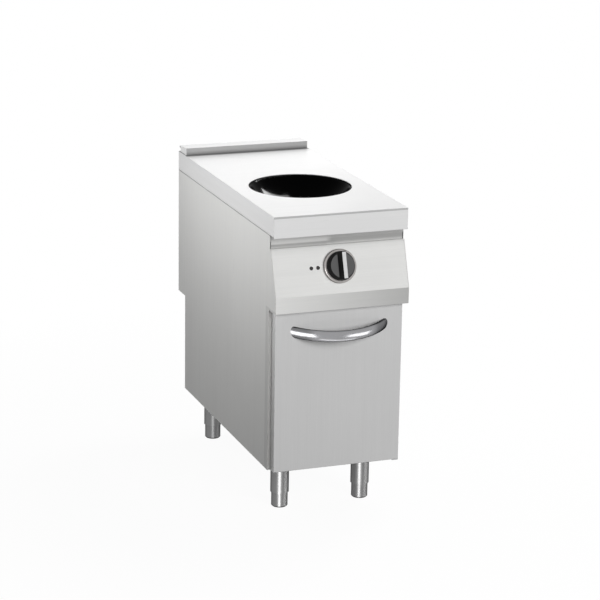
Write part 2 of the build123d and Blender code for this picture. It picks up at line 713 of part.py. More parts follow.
def cover_screw(x, z):
    """Low-headed screw through the rear cover into the side panel's flange."""
    head = bar_y(COVER_SCREW_HEAD, x, (REAR, REAR + COVER_HEAD_HEIGHT), z)
    return head + bar_y(COVER_SCREW, x, (REAR - COVER_SCREW_REACH, REAR), z)


def equipment_tray():
    """Tray between the cupboard and the heating space, with the intake opening."""
    tray = pan(
        (-PANEL_INNER + FIT, PANEL_INNER - FIT),
        (FIT, CABINET_DEPTH - SHEET - FIT),
        (LIP_BOTTOM, LIP_BOTTOM + TRAY_LIP),
        SHEET,
    )
    half = INTAKE_WIDTH / 2
    return tray - block((-half, half), (INTAKE_FRONT, INTAKE_FRONT + INTAKE_LENGTH), (LIP_BOTTOM, TRAY_TOP))


def door_header():
    """Angle under the tray that carries the catch."""
    line = [
        (HEADER_SETBACK + HEADER_FLANGE, LIP_BOTTOM),
        (HEADER_SETBACK, LIP_BOTTOM),
        (HEADER_SETBACK, STRIKE_BOTTOM),
    ]
    return drawn(folded(line, SHEET), PANEL_INNER - FIT)


def intake_filter():
    """Framed slatted filter under the tray's opening."""
    half = INTAKE_WIDTH / 2
    front, back = INTAKE_FRONT, INTAKE_FRONT + INTAKE_LENGTH
    height = (LIP_BOTTOM - FILTER_HEIGHT, LIP_BOTTOM)
    across = (-half - FILTER_EDGE, half + FILTER_EDGE)
    frame = block(across, (front - FILTER_EDGE, back + FILTER_EDGE), height)
    frame -= block((-half, half), (front, back), height)
    for y in spread(FILTER_SLATS, INTAKE_LENGTH / (FILTER_SLATS + 1)):
        middle = (front + back) / 2 + y
        frame += block(
            (-half - FILTER_EDGE / 2, half + FILTER_EDGE / 2),
            (middle - FILTER_SLAT / 2, middle + FILTER_SLAT / 2),
            (LIP_BOTTOM - FILTER_HEIGHT, LIP_BOTTOM - FILTER_HEIGHT / 2),
        )
    return frame


def door_skin():
    """Front sheet of the door with its four returns."""
    outer = block((-DOOR_HALF, DOOR_HALF), (DOOR_FRONT, DOOR_BACK), (DOOR_BOTTOM, DOOR_TOP))
    front_edges = outer.faces().sort_by(Axis.Y)[0].edges()
    outer = fillet(front_edges, DOOR_EDGE)
    skin = outer - block(
        (-DOOR_HALF + DOOR_SHEET, DOOR_HALF - DOOR_SHEET),
        (DOOR_FRONT + DOOR_SHEET, DOOR_BACK),
        (DOOR_BOTTOM + DOOR_SHEET, DOOR_TOP - DOOR_SHEET),
    )
    for z in ((DOOR_BOTTOM, DOOR_BOTTOM + DOOR_SHEET), (DOOR_TOP - DOOR_SHEET, DOOR_TOP)):
        skin -= disc(BUSH_RADIUS + RUNNING_FIT, PIVOT_X, PIVOT_Y, z)
    for x in handle_ends():
        skin -= bar_y(HANDLE_SCREW + HOLE_FIT, x, (DOOR_FRONT, DOOR_FRONT + DOOR_SHEET), HANDLE_Z)
    return skin


def door_liner():
    """Flat inner sheet that closes the back of the door."""
    edge = DOOR_SHEET + FIT
    return block(
        (-DOOR_HALF + edge, DOOR_HALF - edge),
        (DOOR_BACK - DOOR_SHEET, DOOR_BACK),
        (DOOR_BOTTOM + edge, DOOR_TOP - edge),
    )


def handle_ends():
    """X of the handle's two fixings."""
    return [-HANDLE_HALF, HANDLE_HALF]


def door_handle():
    """Bowed oval bar, its ends cut flat on the door."""
    radius = (HANDLE_HALF ** 2 + HANDLE_BOW ** 2) / (2 * HANDLE_BOW)
    sweep_half = degrees(asin(HANDLE_HALF / radius) + HANDLE_THICKNESS / HANDLE_HALF)
    bow_plane = Plane(origin=(0, DOOR_FRONT, HANDLE_Z), x_dir=(1, 0, 0), z_dir=(0, BOW_DROP, -BOW_OUT))
    section = Plane(origin=(radius, 0, 0), x_dir=(1, 0, 0), z_dir=(0, 1, 0)) * Ellipse(
        HANDLE_THICKNESS / 2, HANDLE_WIDTH / 2)
    ring = revolve(section, axis=Axis.Z, revolution_arc=2 * sweep_half)
    bar = bow_plane * Pos(0, HANDLE_BOW - radius, 0) * Rot(0, 0, 90 - sweep_half) * ring
    bar -= block((-HALF, HALF), (DOOR_FRONT, DOOR_FRONT + 2 * radius), (LEG_HEIGHT, WORKTOP_HEIGHT))
    for x in handle_ends():
        depth = (DOOR_FRONT - HANDLE_SCREW_REACH - FIT, DOOR_FRONT)
        bar -= bar_y(HANDLE_SCREW + RUNNING_FIT, x, depth, HANDLE_Z)
    return bar


def handle_screw(x):
    """Screw from inside the door into the handle's end."""
    inside = DOOR_FRONT + DOOR_SHEET
    head = bar_y(HANDLE_SCREW_HEAD, x, (inside, inside + HANDLE_HEAD_HEIGHT), HANDLE_Z)
    return head + bar_y(HANDLE_SCREW, x, (DOOR_FRONT - HANDLE_SCREW_REACH, inside), HANDLE_Z)


def hinge_bush(edge, way):
    """Bush in the door's end at the height edge, with a thrust collar outside; way points into the door."""
    collar_end = edge - way * (DOOR_END_GAP - FIT)
    body_end = edge + way * BUSH_LENGTH
    bush = disc(BUSH_RADIUS, PIVOT_X, PIVOT_Y, sorted((edge, body_end)))
    bush += disc(BUSH_RADIUS + BUSH_FLANGE, PIVOT_X, PIVOT_Y, sorted((edge, collar_end)))
    return bush - disc(PIN_RADIUS + RUNNING_FIT, PIVOT_X, PIVOT_Y, sorted((collar_end, body_end)))


def hinge_plate(z_low):
    """Plate that carries a hinge pin ahead of the front plane."""
    height = (z_low, z_low + HINGE_PLATE)
    across = (PIVOT_X - HINGE_MARGIN, PIVOT_X + HINGE_MARGIN)
    plate = block(across, (PIVOT_Y - HINGE_MARGIN, HINGE_TAIL), height)
    return plate - disc(PIN_RADIUS + RUNNING_FIT, PIVOT_X, PIVOT_Y, height)


def lower_hinge_pin():
    """Headed pin up through the lower plate into the door."""
    plate_low = LEG_HEIGHT - HINGE_PLATE
    head = disc(PIN_RADIUS + PIN_HEAD, PIVOT_X, PIVOT_Y, (plate_low - PIN_HEAD, plate_low))
    return head + disc(PIN_RADIUS, PIVOT_X, PIVOT_Y, (plate_low, DOOR_BOTTOM + PIN_REACH))


def upper_hinge_pin():
    """Pin down from the upper plate into the door."""
    return disc(PIN_RADIUS, PIVOT_X, PIVOT_Y, (DOOR_TOP - PIN_REACH, LIP_BOTTOM))


def magnet_catch():
    """Magnet block on the front of the header."""
    across = (MAGNET_X - MAGNET_WIDTH / 2, MAGNET_X + MAGNET_WIDTH / 2)
    return block(across, (MAGNET_FRONT, HEADER_SETBACK), (MAGNET_BOTTOM, MAGNET_TOP))


def strike_plate():
    """Steel plate on the door that the magnet holds."""
    half = MAGNET_WIDTH / 2 + STRIKE_MARGIN
    height = (STRIKE_BOTTOM, MAGNET_TOP + STRIKE_MARGIN)
    return block((MAGNET_X - half, MAGNET_X + half), (DOOR_BACK, DOOR_BACK + STRIKE_SHEET), height)


def door_bumper(z):
    """Rubber button on the left front flange."""
    x = -(DOOR_HALF + PANEL_INNER - FRONT_FLANGE) / 2
    return bar_y(BUMPER_RADIUS, x, (-DOOR_GAP + FIT, 0), z)


def leg_places():
    """X and Y of the four legs: front left, front right, rear left, rear right."""
    return [(x, y) for y in (LEG_FRONT_Y, LEG_REAR_Y) for x in (-LEG_X, LEG_X)]


def bolt_places(x, y):
    """X and Y of the four bolts of the leg at (x, y)."""
    return [(x + dx, y + dy) for dx in (-BOLT_OFFSET, BOLT_OFFSET) for dy in (-BOLT_OFFSET, BOLT_OFFSET)]


def leg(x, y):
    """Round leg with a top plate and a threaded plug at its foot."""
    foot = FOOT_HEIGHT + FIT
    plate = (LEG_HEIGHT - LEG_PLATE, LEG_HEIGHT)
    tube = disc(LEG_RADIUS, x, y, (foot, plate[0]))
    tube -= disc(LEG_RADIUS - LEG_WALL, x, y, (foot + LEG_PLUG, plate[0]))
    half = LEG_PLATE_WIDTH / 2
    tube += block((x - half, x + half), (y - half, y + half), plate)
    tube -= disc(STEM_RADIUS + RUNNING_FIT, x, y, (foot, foot + LEG_PLUG))
    for bolt_x, bolt_y in bolt_places(x, y):
        tube -= disc(BOLT_RADIUS + HOLE_FIT, bolt_x, bolt_y, plate)
    return tube


def leg_bolt(x, y):
    """Bolt up through the leg's plate and the cabinet floor."""
    under = LEG_HEIGHT - LEG_PLATE
    bolt = disc(BOLT_RADIUS, x, y, (under, LEG_HEIGHT + SHEET + BOLT_SPARE))
    return bolt + disc(BOLT_HEAD, x, y, (under - BOLT_HEAD_HEIGHT, under))


def foot(x, y):
    """Adjustable foot with its threaded stem."""
    cup = disc(FOOT_RADIUS, x, y, (0, FOOT_HEIGHT))
    cup = chamfer(cup.edges().group_by(Axis.Z)[0], FOOT_EDGE)
    stem_top = FOOT_HEIGHT + LEG_PLUG + FOOT_TRAVEL + STEM_SPARE
    return cup + disc(STEM_RADIUS, x, y, (FOOT_HEIGHT, stem_top))


def wok_bowl():
    """Dished glass bowl with a flat flange."""
    layer = bowl_layer(BOWL_SPHERE, GLASS_SPHERE, BOWL_TOP)
    flange = disc(BOWL_OUTER, 0, OPENING_Y, (CLAMP_TOP, BOWL_TOP))
    return layer + (flange - Pos(0, OPENING_Y, SPHERE_Z) * Sphere(BOWL_SPHERE))


def bowl_seal():
    """Flat ring between the bowl's flange and the worktop."""
    height = (BOWL_TOP, TOP_UNDER)
    outer = disc(BOWL_OUTER - SEAL_INSET, 0, OPENING_Y, height)
    return outer - disc(OPENING_RADIUS + SEAL_INSET, 0, OPENING_Y, height)


def stud_places():
    """X and Y of the studs round the bowl."""
    turns = [radians(360 / CLAMP_STUDS * index) for index in range(CLAMP_STUDS)]
    return [(STUD_CIRCLE * cos(turn), OPENING_Y + STUD_CIRCLE * sin(turn)) for turn in turns]


def bowl_clamp_ring():
    """Ring that holds the bowl's flange up against the seal."""
    height = (CLAMP_BOTTOM, CLAMP_TOP)
    ring = disc(CLAMP_RADIUS, 0, OPENING_Y, height)
    ring -= disc(BOWL_OUTER - CLAMP_LAP, 0, OPENING_Y, height)
    for x, y in stud_places():
        ring -= disc(STUD_RADIUS + HOLE_FIT, x, y, height)
    return ring


def on_bridge(x, y):
    """Whether the stud at (x, y) also carries the coil bridge."""
    return abs(y - OPENING_Y) < BRIDGE_WIDTH / 2 and abs(x) > BRIDGE_LEG


def nut_top(x, y):
    """Height of the face that the nut at (x, y) bears on."""
    return CLAMP_BOTTOM - BRIDGE_SHEET if on_bridge(x, y) else CLAMP_BOTTOM


def bowl_stud(x, y):
    """Stud welded under the worktop."""
    return disc(STUD_RADIUS, x, y, (nut_top(x, y) - NUT_HEIGHT - STUD_SPARE, TOP_UNDER))


def bowl_nut(x, y):
    """Hexagon nut on a stud."""
    high = nut_top(x, y)
    blank = Pos(x, y, high - NUT_HEIGHT) * extrude(RegularPolygon(NUT_RADIUS, 6), amount=NUT_HEIGHT)
    return blank - disc(STUD_RADIUS + RUNNING_FIT, x, y, (high - NUT_HEIGHT, high))


def induction_coil():
    """Dished winding under the bowl, open in the middle."""
    coil = bowl_layer(COIL_SPHERE, COIL_SPHERE + COIL_WALL, BOWL_TOP - COIL_DROP)
    return coil - disc(COIL_EYE, 0, OPENING_Y, (BRIDGE_TOP, BOWL_TOP))


def coil_carrier():
    """Dished carrier of the coil, standing on the bridge by its boss."""
    carrier = bowl_layer(CARRIER_SPHERE, CARRIER_SPHERE + CARRIER_WALL, CARRIER_RIM_Z)
    boss_top = SPHERE_Z - CARRIER_SPHERE - CARRIER_WALL / 2
    carrier += disc(CARRIER_BOSS, 0, OPENING_Y, (BRIDGE_TOP, boss_top))
    return carrier - disc(SENSOR_FLANGE + FIT, 0, OPENING_Y, (BRIDGE_TOP, BOWL_TOP))


def ferrite_bar(turn):
    """Curved bar under the carrier, a narrow sector of a hollow sphere."""
    layer = bowl_layer(FERRITE_SPHERE, FERRITE_SPHERE + FERRITE_WALL, SPHERE_Z)
    band = disc(FERRITE_OUTER, 0, OPENING_Y, (BRIDGE_TOP, BOWL_TOP))
    band -= disc(FERRITE_INNER, 0, OPENING_Y, (BRIDGE_TOP, BOWL_TOP))
    half_width = FERRITE_OUTER * sin(radians(FERRITE_ANGLE / 2))
    wedge = make_face(Polyline(
        (0, 0), (FERRITE_OUTER * 2, -half_width * 2), (FERRITE_OUTER * 2, half_width * 2), close=True))
    wedge = Pos(0, OPENING_Y, BRIDGE_TOP) * Rot(0, 0, turn) * extrude(wedge, amount=BOWL_TOP - BRIDGE_TOP)
    return layer & band & wedge


def coil_bridge():
    """Strap under the carrier, bolted up to the clamp ring."""
    high = CLAMP_BOTTOM
    line = [
        (CLAMP_RADIUS, high),
        (BRIDGE_LEG, high),
        (BRIDGE_LEG, BRIDGE_TOP),
        (-BRIDGE_LEG, BRIDGE_TOP),
        (-BRIDGE_LEG, high),
        (-CLAMP_RADIUS, high),
    ]
    strap = Pos(0, OPENING_Y, 0) * Rot(0, 0, -90) * drawn(folded(line, BRIDGE_SHEET), BRIDGE_WIDTH / 2)
    strap -= disc(SENSOR_RADIUS + FIT, 0, OPENING_Y, (BRIDGE_TOP - BRIDGE_SHEET, BRIDGE_TOP))
    for x, y in stud_places():
        if on_bridge(x, y):
            strap -= disc(STUD_RADIUS + HOLE_FIT, x, y, (high - BRIDGE_SHEET, high))
    return strap


def temperature_sensor():
    """Probe on the bridge that reaches up to the bowl."""
    top = SPHERE_Z - GLASS_SPHERE - FIT
    probe = disc(SENSOR_RADIUS, 0, OPENING_Y, (BRIDGE_TOP - BRIDGE_SHEET - SENSOR_TAIL, top))
    return probe + disc(SENSOR_FLANGE, 0, OPENING_Y, (BRIDGE_TOP, BRIDGE_TOP + SENSOR_FLANGE_HEIGHT))


def generator_box():
    """Open box of the power electronics, with the fan's and the exhaust's openings."""
    across = (-GENERATOR_HALF, GENERATOR_HALF)
    box = pan(across, (GENERATOR_FRONT, GENERATOR_BACK), (TRAY_TOP, GENERATOR_TOP), SHEET)
    box -= bar_y(FAN_BORE, 0, (GENERATOR_FRONT, FAN_Y), FAN_Z)
    duct = DUCT_WIDTH / 2 - SHEET
    height = (DUCT_BASE + SHEET, DUCT_TOP - SHEET)
    return box - block((-duct, duct), (GENERATOR_BACK - SHEET, GENERATOR_BACK), height)


def generator_cover():
    """Lid of the generator."""
    across = (-GENERATOR_HALF, GENERATOR_HALF)
    return block(across, (GENERATOR_FRONT, GENERATOR_BACK), (GENERATOR_TOP, GENERATOR_TOP + SHEET))


def heat_sink():
    """Finned block on the floor of the generator."""
    half = SINK_WIDTH / 2
    depth = (SINK_FRONT, SINK_FRONT + SINK_LENGTH)
    sink = block((-half, half), depth, (GENERATOR_FLOOR, GENERATOR_FLOOR + SINK_BASE))
    pitch = (SINK_WIDTH - SINK_FIN) / (SINK_FINS - 1)
    for x in spread(SINK_FINS, pitch):
        sink += block((x - SINK_FIN / 2, x + SINK_FIN / 2), depth, (GENERATOR_FLOOR, SINK_TOP))
    return sink


def power_board():
    """Board on top of the heat sink."""
    half = GENERATOR_HALF - SHEET - POWER_BOARD_MARGIN
    depth = (SINK_FRONT, GENERATOR_BACK - SHEET - POWER_BOARD_MARGIN)
    return block((-half, half), depth, (SINK_TOP, SINK_TOP + POWER_BOARD_SHEET))


def fan_housing():
    """Square fan frame with spokes that carry the bearing."""
    half = FAN_SIZE / 2
    depth = (FAN_Y, FAN_Y + FAN_DEPTH)
    spokes = (depth[1] - FAN_SPOKE, depth[1])
    frame = block((-half, half), depth, (FAN_Z - half, FAN_Z + half)) - bar_y(FAN_BORE, 0, depth, FAN_Z)
    middle = (FAN_Y + FAN_DEPTH / 2, spokes[1])
    arm = block((-FAN_SPOKE / 2, FAN_SPOKE / 2), spokes, (0, half))
    for index in range(FAN_SPOKES):
        frame += Pos(0, 0, FAN_Z) * Rot(0, 360 / FAN_SPOKES * index, 0) * arm
    frame += bar_y(FAN_HUB - FAN_HUB_WALL, 0, spokes, FAN_Z) + bar_y(FAN_BEARING, 0, middle, FAN_Z)
    return frame - bar_y(FAN_SHAFT + RUNNING_FIT, 0, middle, FAN_Z)


def fan_impeller():
    """Hub cup with pitched blades and the shaft that runs in the bearing."""
    front = FAN_Y + FAN_HUB_WALL
    back = FAN_Y + FAN_DEPTH - FAN_SPOKE - FAN_HUB_WALL
    hub = bar_y(FAN_HUB, 0, (front, back), FAN_Z)
    hub -= bar_y(FAN_HUB - FAN_HUB_WALL, 0, (front + FAN_HUB_WALL, back), FAN_Z)
    hub += bar_y(FAN_SHAFT, 0, (front, FAN_Y + FAN_DEPTH - FAN_SPOKE / 2), FAN_Z)
    tip = bar_y(FAN_BORE - FAN_TIP_GAP, 0, (front, back), FAN_Z)
    tip -= bar_y(FAN_HUB - FAN_HUB_WALL / 2, 0, (front, back), FAN_Z)
    blade = Rot(0, 0, FAN_PITCH) * block(
        (-FAN_BLADE / 2, FAN_BLADE / 2), (-FAN_CHORD / 2, FAN_CHORD / 2), (0, FAN_BORE))
    for index in range(FAN_BLADES):
        turned = Pos(0, (front + back) / 2, FAN_Z) * Rot(0, 360 / FAN_BLADES * index, 0) * blade
        hub += turned & tip
    return hub


def exhaust_duct():
    """Square duct from the generator to the back panel."""
    half = DUCT_WIDTH / 2
    depth = (GENERATOR_BACK, CABINET_DEPTH - SHEET)
    inside = block((-half + SHEET, half - SHEET), depth, (DUCT_BASE + SHEET, DUCT_TOP - SHEET))
    return block((-half, half), depth, (DUCT_BASE, DUCT_TOP)) - inside


def cable_gland():
    """Gland through the floor of the exhaust space, open for the supply cable."""
    under = PLENUM_BASE - GLAND_COLLAR_HEIGHT
    low = under - GLAND_DOME_HEIGHT
    high = PLENUM_BASE + SHEET + GLAND_SPARE
    dome = disc(GLAND_DOME, GLAND_X, SUPPLY_Y, (low, under))
    dome = fillet(dome.edges().group_by(Axis.Z)[0], (GLAND_DOME - GLAND_BORE) / 2)
    hexagon = Pos(GLAND_X, SUPPLY_Y, under) * RegularPolygon(GLAND_COLLAR, 6)
    collar = extrude(hexagon, amount=GLAND_COLLAR_HEIGHT)
    gland = dome + collar + disc(GLAND_THREAD, GLAND_X, SUPPLY_Y, (PLENUM_BASE, high))
    return gland - disc(GLAND_BORE, GLAND_X, SUPPLY_Y, (low, high))


def bonding_stud():
    """Stud below the exhaust space for the bonding lead."""
    under = PLENUM_BASE - BOND_COLLAR_HEIGHT
    stud = disc(BOND_RADIUS, STUD_X, SUPPLY_Y, (under - BOND_LENGTH, PLENUM_BASE + SHEET + BOND_SPARE))
    return stud + disc(BOND_COLLAR, STUD_X, SUPPLY_Y, (under, PLENUM_BASE))


def terminal_block():
    """Terminals on the back panel, above the gland."""
    half = TERMINAL_WIDTH / 2
    low = PLENUM_BASE + TERMINAL_RISE
    depth = (CABINET_DEPTH, CABINET_DEPTH + TERMINAL_DEPTH)
    return block((GLAND_X - half, GLAND_X + half), depth, (low, low + TERMINAL_HEIGHT))


def carcass():
    """Sheet pieces of the cabinet."""
    right = right_side_panel()
    return {
        "worktop": worktop(),
        "rear_ledge": rear_ledge(),
        "right_side_panel": right,
        "left_side_panel": mirror(right, about=Plane.YZ),
        "front_rail": front_rail(),
        "floor_pan": floor_pan(),
        "back_panel": back_panel(),
        "rear_cover": rear_cover(),
        "rear_cover_screws": [cover_screw(x, z) for x, z in cover_screw_places()],
        "equipment_tray": equipment_tray(),
        "door_header": door_header(),
        "intake_filter": intake_filter(),
    }


def controls():
    """Control panel and what is on it."""
    return {
        "control_panel": control_panel(),
        "knob_bezel": knob_bezel(),
        "control_knob": control_knob(),
        "knob_pointer": knob_pointer(),
        "selector_shaft": selector_shaft(),
        "selector_switch": selector_switch(),
        "indicator_lamps": [indicator_lamp(x) for x in (LAMP_LEFT, LAMP_RIGHT)],
        "control_board": control_board(),
    }


def door():
    """Door, its handle, its hinges and its catch."""
    bumper_heights = (DOOR_BOTTOM + BUMPER_INSET, DOOR_TOP - BUMPER_INSET)
    return {
        "door_skin": door_skin(),
        "door_liner": door_liner(),
        "door_handle": door_handle(),
        "handle_screws": [handle_screw(x) for x in handle_ends()],
        "hinge_bushes": [hinge_bush(DOOR_BOTTOM, 1), hinge_bush(DOOR_TOP, -1)],
        "hinge_plates": [hinge_plate(LEG_HEIGHT - HINGE_PLATE), hinge_plate(LIP_BOTTOM - HINGE_PLATE)],
        "hinge_pins": [lower_hinge_pin(), upper_hinge_pin()],
        "magnet_catch": magnet_catch(),
        "strike_plate": strike_plate(),
        "door_bumpers": [door_bumper(z) for z in bumper_heights],
    }


def legs():
    """Legs, feet and the bolts of the legs."""
    names = ("front_left", "front_right", "rear_left", "rear_right")
    pieces = {}
    bolts = []
    for name, (x, y) in zip(names, leg_places()):
        pieces["leg_" + name] = leg(x, y)
        pieces["foot_" + name] = foot(x, y)
        bolts += [leg_bolt(bolt_x, bolt_y) for bolt_x, bolt_y in bolt_places(x, y)]
    pieces["leg_bolts"] = bolts
    return pieces


def heating():
    """Bowl, its mounting, the coil and what carries it."""
    turns = [360 / FERRITE_BARS * (index + 0.5) for index in range(FERRITE_BARS)]
    return {
        "wok_bowl": wok_bowl(),
        "bowl_seal": bowl_seal(),
        "bowl_clamp_ring": bowl_clamp_ring(),
        "bowl_studs": [bowl_stud(x, y) for x, y in stud_places()],
        "bowl_nuts": [bowl_nut(x, y) for x, y in stud_places()],
        "induction_coil": induction_coil(),
        "coil_carrier": coil_carrier(),
        "ferrite_bars": [ferrite_bar(turn) for turn in turns],
        "coil_bridge": coil_bridge(),
        "temperature_sensor": temperature_sensor(),
    }


def power():
    """Generator, cooling and supply."""
    return {
        "generator_box": generator_box(),
        "generator_cover": generator_cover(),
        "heat_sink": heat_sink(),
        "power_board": power_board(),
        "fan_housing": fan_housing(),
        "fan_impeller": fan_impeller(),
        "exhaust_duct": exhaust_duct(),
        "cable_gland": cable_gland(),
        "bonding_stud": bonding_stud(),
        "terminal_block": terminal_block(),
    }


def solids_of(piece):
    """Separate solids of a piece or of a group of pieces."""
    group = piece if isinstance(piece, list) else [piece]
    return [solid for item in group for solid in item.solids()]


def main():
    """Write each piece to its own file."""
    os.makedirs("parts", exist_ok=True)
    pieces = carcass() | controls() | door() | legs() | heating() | power()
    for name, piece in pieces.items():
        placed = [ORIGIN_SHIFT * solid for solid in solids_of(piece)]
        shape = placed[0] if len(placed) == 1 else Compound(children=placed)
        export_step(shape, f"parts/{name}.step")


if __name__ == "__main__":
    main()
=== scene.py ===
import json
import math

import bpy
from mathutils import Matrix, Vector


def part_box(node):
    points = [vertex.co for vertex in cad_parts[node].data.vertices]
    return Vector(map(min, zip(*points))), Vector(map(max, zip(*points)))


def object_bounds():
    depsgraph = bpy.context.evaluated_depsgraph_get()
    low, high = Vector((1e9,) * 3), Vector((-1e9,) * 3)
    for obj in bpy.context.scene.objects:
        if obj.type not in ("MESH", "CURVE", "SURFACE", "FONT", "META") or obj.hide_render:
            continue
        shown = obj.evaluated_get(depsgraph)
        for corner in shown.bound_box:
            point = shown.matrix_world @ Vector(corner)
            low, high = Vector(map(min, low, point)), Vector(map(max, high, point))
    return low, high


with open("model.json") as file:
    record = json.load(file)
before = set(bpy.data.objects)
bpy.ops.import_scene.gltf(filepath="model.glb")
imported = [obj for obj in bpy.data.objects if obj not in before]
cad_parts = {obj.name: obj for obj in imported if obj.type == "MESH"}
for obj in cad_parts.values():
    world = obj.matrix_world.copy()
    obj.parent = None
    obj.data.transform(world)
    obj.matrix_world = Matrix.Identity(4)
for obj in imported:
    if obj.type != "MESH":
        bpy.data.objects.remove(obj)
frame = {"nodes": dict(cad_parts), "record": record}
cad_low, cad_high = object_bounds()
nodes = frame["nodes"]

# Axes of the frame: X to the right, Y to the rear, Z up. Lengths are in metres
X, Y, Z = 0, 1, 2

# Sockets of the Mix node, for colours and for vectors: first, second, result
MIX_COLOUR = (6, 7, 2)
MIX_VECTOR = (4, 5, 1)

# A face looks along an axis where that part of its direction is over LOOKS,
# and is square to it over SQUARE
LOOKS = 0.5
SQUARE = 0.7

# How nearly the direction within a radius agrees with the face's own, on flats and on sharp edges
FLAT_TURN = 0.99
SHARP_TURN = 0.8

# Samples of a Bevel node, for a mark and for a rounded edge
EDGE_SAMPLES = 4
ROUND_SAMPLES = 8

# Noise: the values that most of it lies between, and its detail
NOISE_LOW = 0.3
NOISE_HIGH = 0.7
NOISE_DETAIL = 3.0


class Surface:
    """One material: its node tree, and its shader, whose own sockets hold the constants."""

    def __init__(self, name, constants):
        self.material = bpy.data.materials.new(name)
        self.material.use_nodes = True
        self.tree = self.material.node_tree
        self.shader = self.tree.nodes["Principled BSDF"]
        for socket, value in constants.items():
            self.shader.inputs[socket].default_value = value

    def node(self, kind, **values):
        """A node of that kind; a value is a property, or else an input of that name."""
        made = self.tree.nodes.new("ShaderNode" + kind)
        for key, value in values.items():
            if hasattr(made, key):
                setattr(made, key, value)
            else:
                made.inputs[key].default_value = value
        return made

    def link(self, output, socket):
        self.tree.links.new(output, socket)

    def math(self, operation, first, second):
        """A Math node of two values, each a socket or a number."""
        made = self.node("Math", operation=operation)
        for place, value in enumerate((first, second)):
            if isinstance(value, (int, float)):
                made.inputs[place].default_value = value
            else:
                self.link(value, made.inputs[place])
        return made.outputs[0]

    def product(self, *values):
        """Values multiplied."""
        result = values[0]
        for value in values[1:]:
            result = self.math("MULTIPLY", result, value)
        return result

    def weighed(self, *pairs):
        """The sum of values times their shares."""
        result = None
        for value, share in pairs:
            term = self.math("MULTIPLY", value, share)
            result = term if result is None else self.math("ADD", result, term)
        return result

    def over(self, value, limit):
        """1 where a value is over a limit, else 0."""
        return self.math("GREATER_THAN", value, limit)

    def under(self, value, limit):
        """1 where a value is under a limit, else 0."""
        return self.math("LESS_THAN", value, limit)

    def unsigned(self, value):
        return self.math("ABSOLUTE", value, 0.0)

    def spread(self, value, low, high, start=0.0, end=1.0):
        """A value from start..end brought to low..high."""
        made = self.node("MapRange")
        self.link(value, made.inputs["Value"])
        made.inputs["From Min"].default_value = start
        made.inputs["From Max"].default_value = end
        made.inputs["To Min"].default_value = low
        made.inputs["To Max"].default_value = high
        return made.outputs["Result"]

    def toned(self, where, factor):
        """1 away from a place, a factor in it."""
        if isinstance(factor, float):
            return self.spread(where, 1.0, factor)
        return self.math("SUBTRACT", 1.0, self.product(where, self.math("SUBTRACT", 1.0, factor)))

    def object_place(self):
        return self.node("TexCoord").outputs["Object"]

    def direction(self):
        """The surface's direction, in the object's own axes."""
        return self.node("TexCoord").outputs["Normal"]

    def part(self, vector, axis):
        """One part of a vector."""
        made = self.node("SeparateXYZ")
        self.link(vector, made.inputs[0])
        return made.outputs[axis]

    def place(self, axis):
        return self.part(self.object_place(), axis)

    def facing(self, axis):
        return self.part(self.direction(), axis)

    def forward(self):
        """1 on faces that look to the front, else 0."""
        return self.under(self.facing(Y), -LOOKS)

    def upward(self):
        """1 on faces that look up, else 0."""
        return self.over(self.facing(Z), LOOKS)

    def sideways(self):
        """1 on faces that look to the left or right, else 0."""
        return self.over(self.unsigned(self.facing(X)), SQUARE)

    def towards(self, vector, direction):
        """How far a vector goes in a direction."""
        made = self.node("VectorMath", operation="DOT_PRODUCT")
        self.link(vector, made.inputs[0])
        made.inputs[1].default_value = direction
        return made.outputs["Value"]

    def along(self, origin, direction):
        """Distance from a point along a direction."""
        away = self.node("VectorMath", operation="SUBTRACT")
        self.link(self.object_place(), away.inputs[0])
        away.inputs[1].default_value = origin
        return self.towards(away.outputs[0], direction)

    def scaled(self, place, scale):
        """A place stretched by three factors."""
        made = self.node("VectorMath", operation="MULTIPLY")
        self.link(place, made.inputs[0])
        made.inputs[1].default_value = scale
        return made.outputs[0]

    def darkened(self, colour, factor):
        """A colour times a factor."""
        made = self.node("VectorMath", operation="SCALE")
        self.link(colour, made.inputs[0])
        self.link(factor, made.inputs["Scale"])
        return made.outputs[0]

    def shade(self, factor, dark, light):
        """A colour between two, by a factor."""
        first, second, result = MIX_COLOUR
        made = self.node("Mix", data_type="RGBA")
        self.link(factor, made.inputs["Factor"])
        made.inputs[first].default_value = (*dark, 1.0)
        made.inputs[second].default_value = (*light, 1.0)
        return made.outputs[result]

    def noise(self, place, scale=1.0, detail=NOISE_DETAIL):
        made = self.node("TexNoise", Scale=scale, Detail=detail)
        self.link(place, made.inputs["Vector"])
        return made.outputs["Fac"]

    def lines(self, axis, across, length, width):
        """Noise drawn out along one axis; faces square to that axis take the other axis."""
        first, second, result = MIX_VECTOR
        chosen = self.node("Mix", data_type="VECTOR")
        self.link(self.over(self.unsigned(self.facing(axis)), SQUARE), chosen.inputs["Factor"])
        for socket, drawn in ((first, axis), (second, across)):
            scale = [1.0 / width] * 3
            scale[drawn] = 1.0 / length
            self.link(self.scaled(self.object_place(), scale), chosen.inputs[socket])
        return self.noise(chosen.outputs[result])

    def edges(self, radius):
        """How much the surface turns within a small radius: 0 on flats, 1 on sharp edges."""
        bevel = self.node("Bevel", samples=EDGE_SAMPLES, Radius=radius)
        turn = self.node("VectorMath", operation="DOT_PRODUCT")
        self.link(bevel.outputs["Normal"], turn.inputs[0])
        self.link(self.node("NewGeometry").outputs["True Normal"], turn.inputs[1])
        return self.spread(turn.outputs["Value"], 0.0, 1.0, FLAT_TURN, SHARP_TURN)

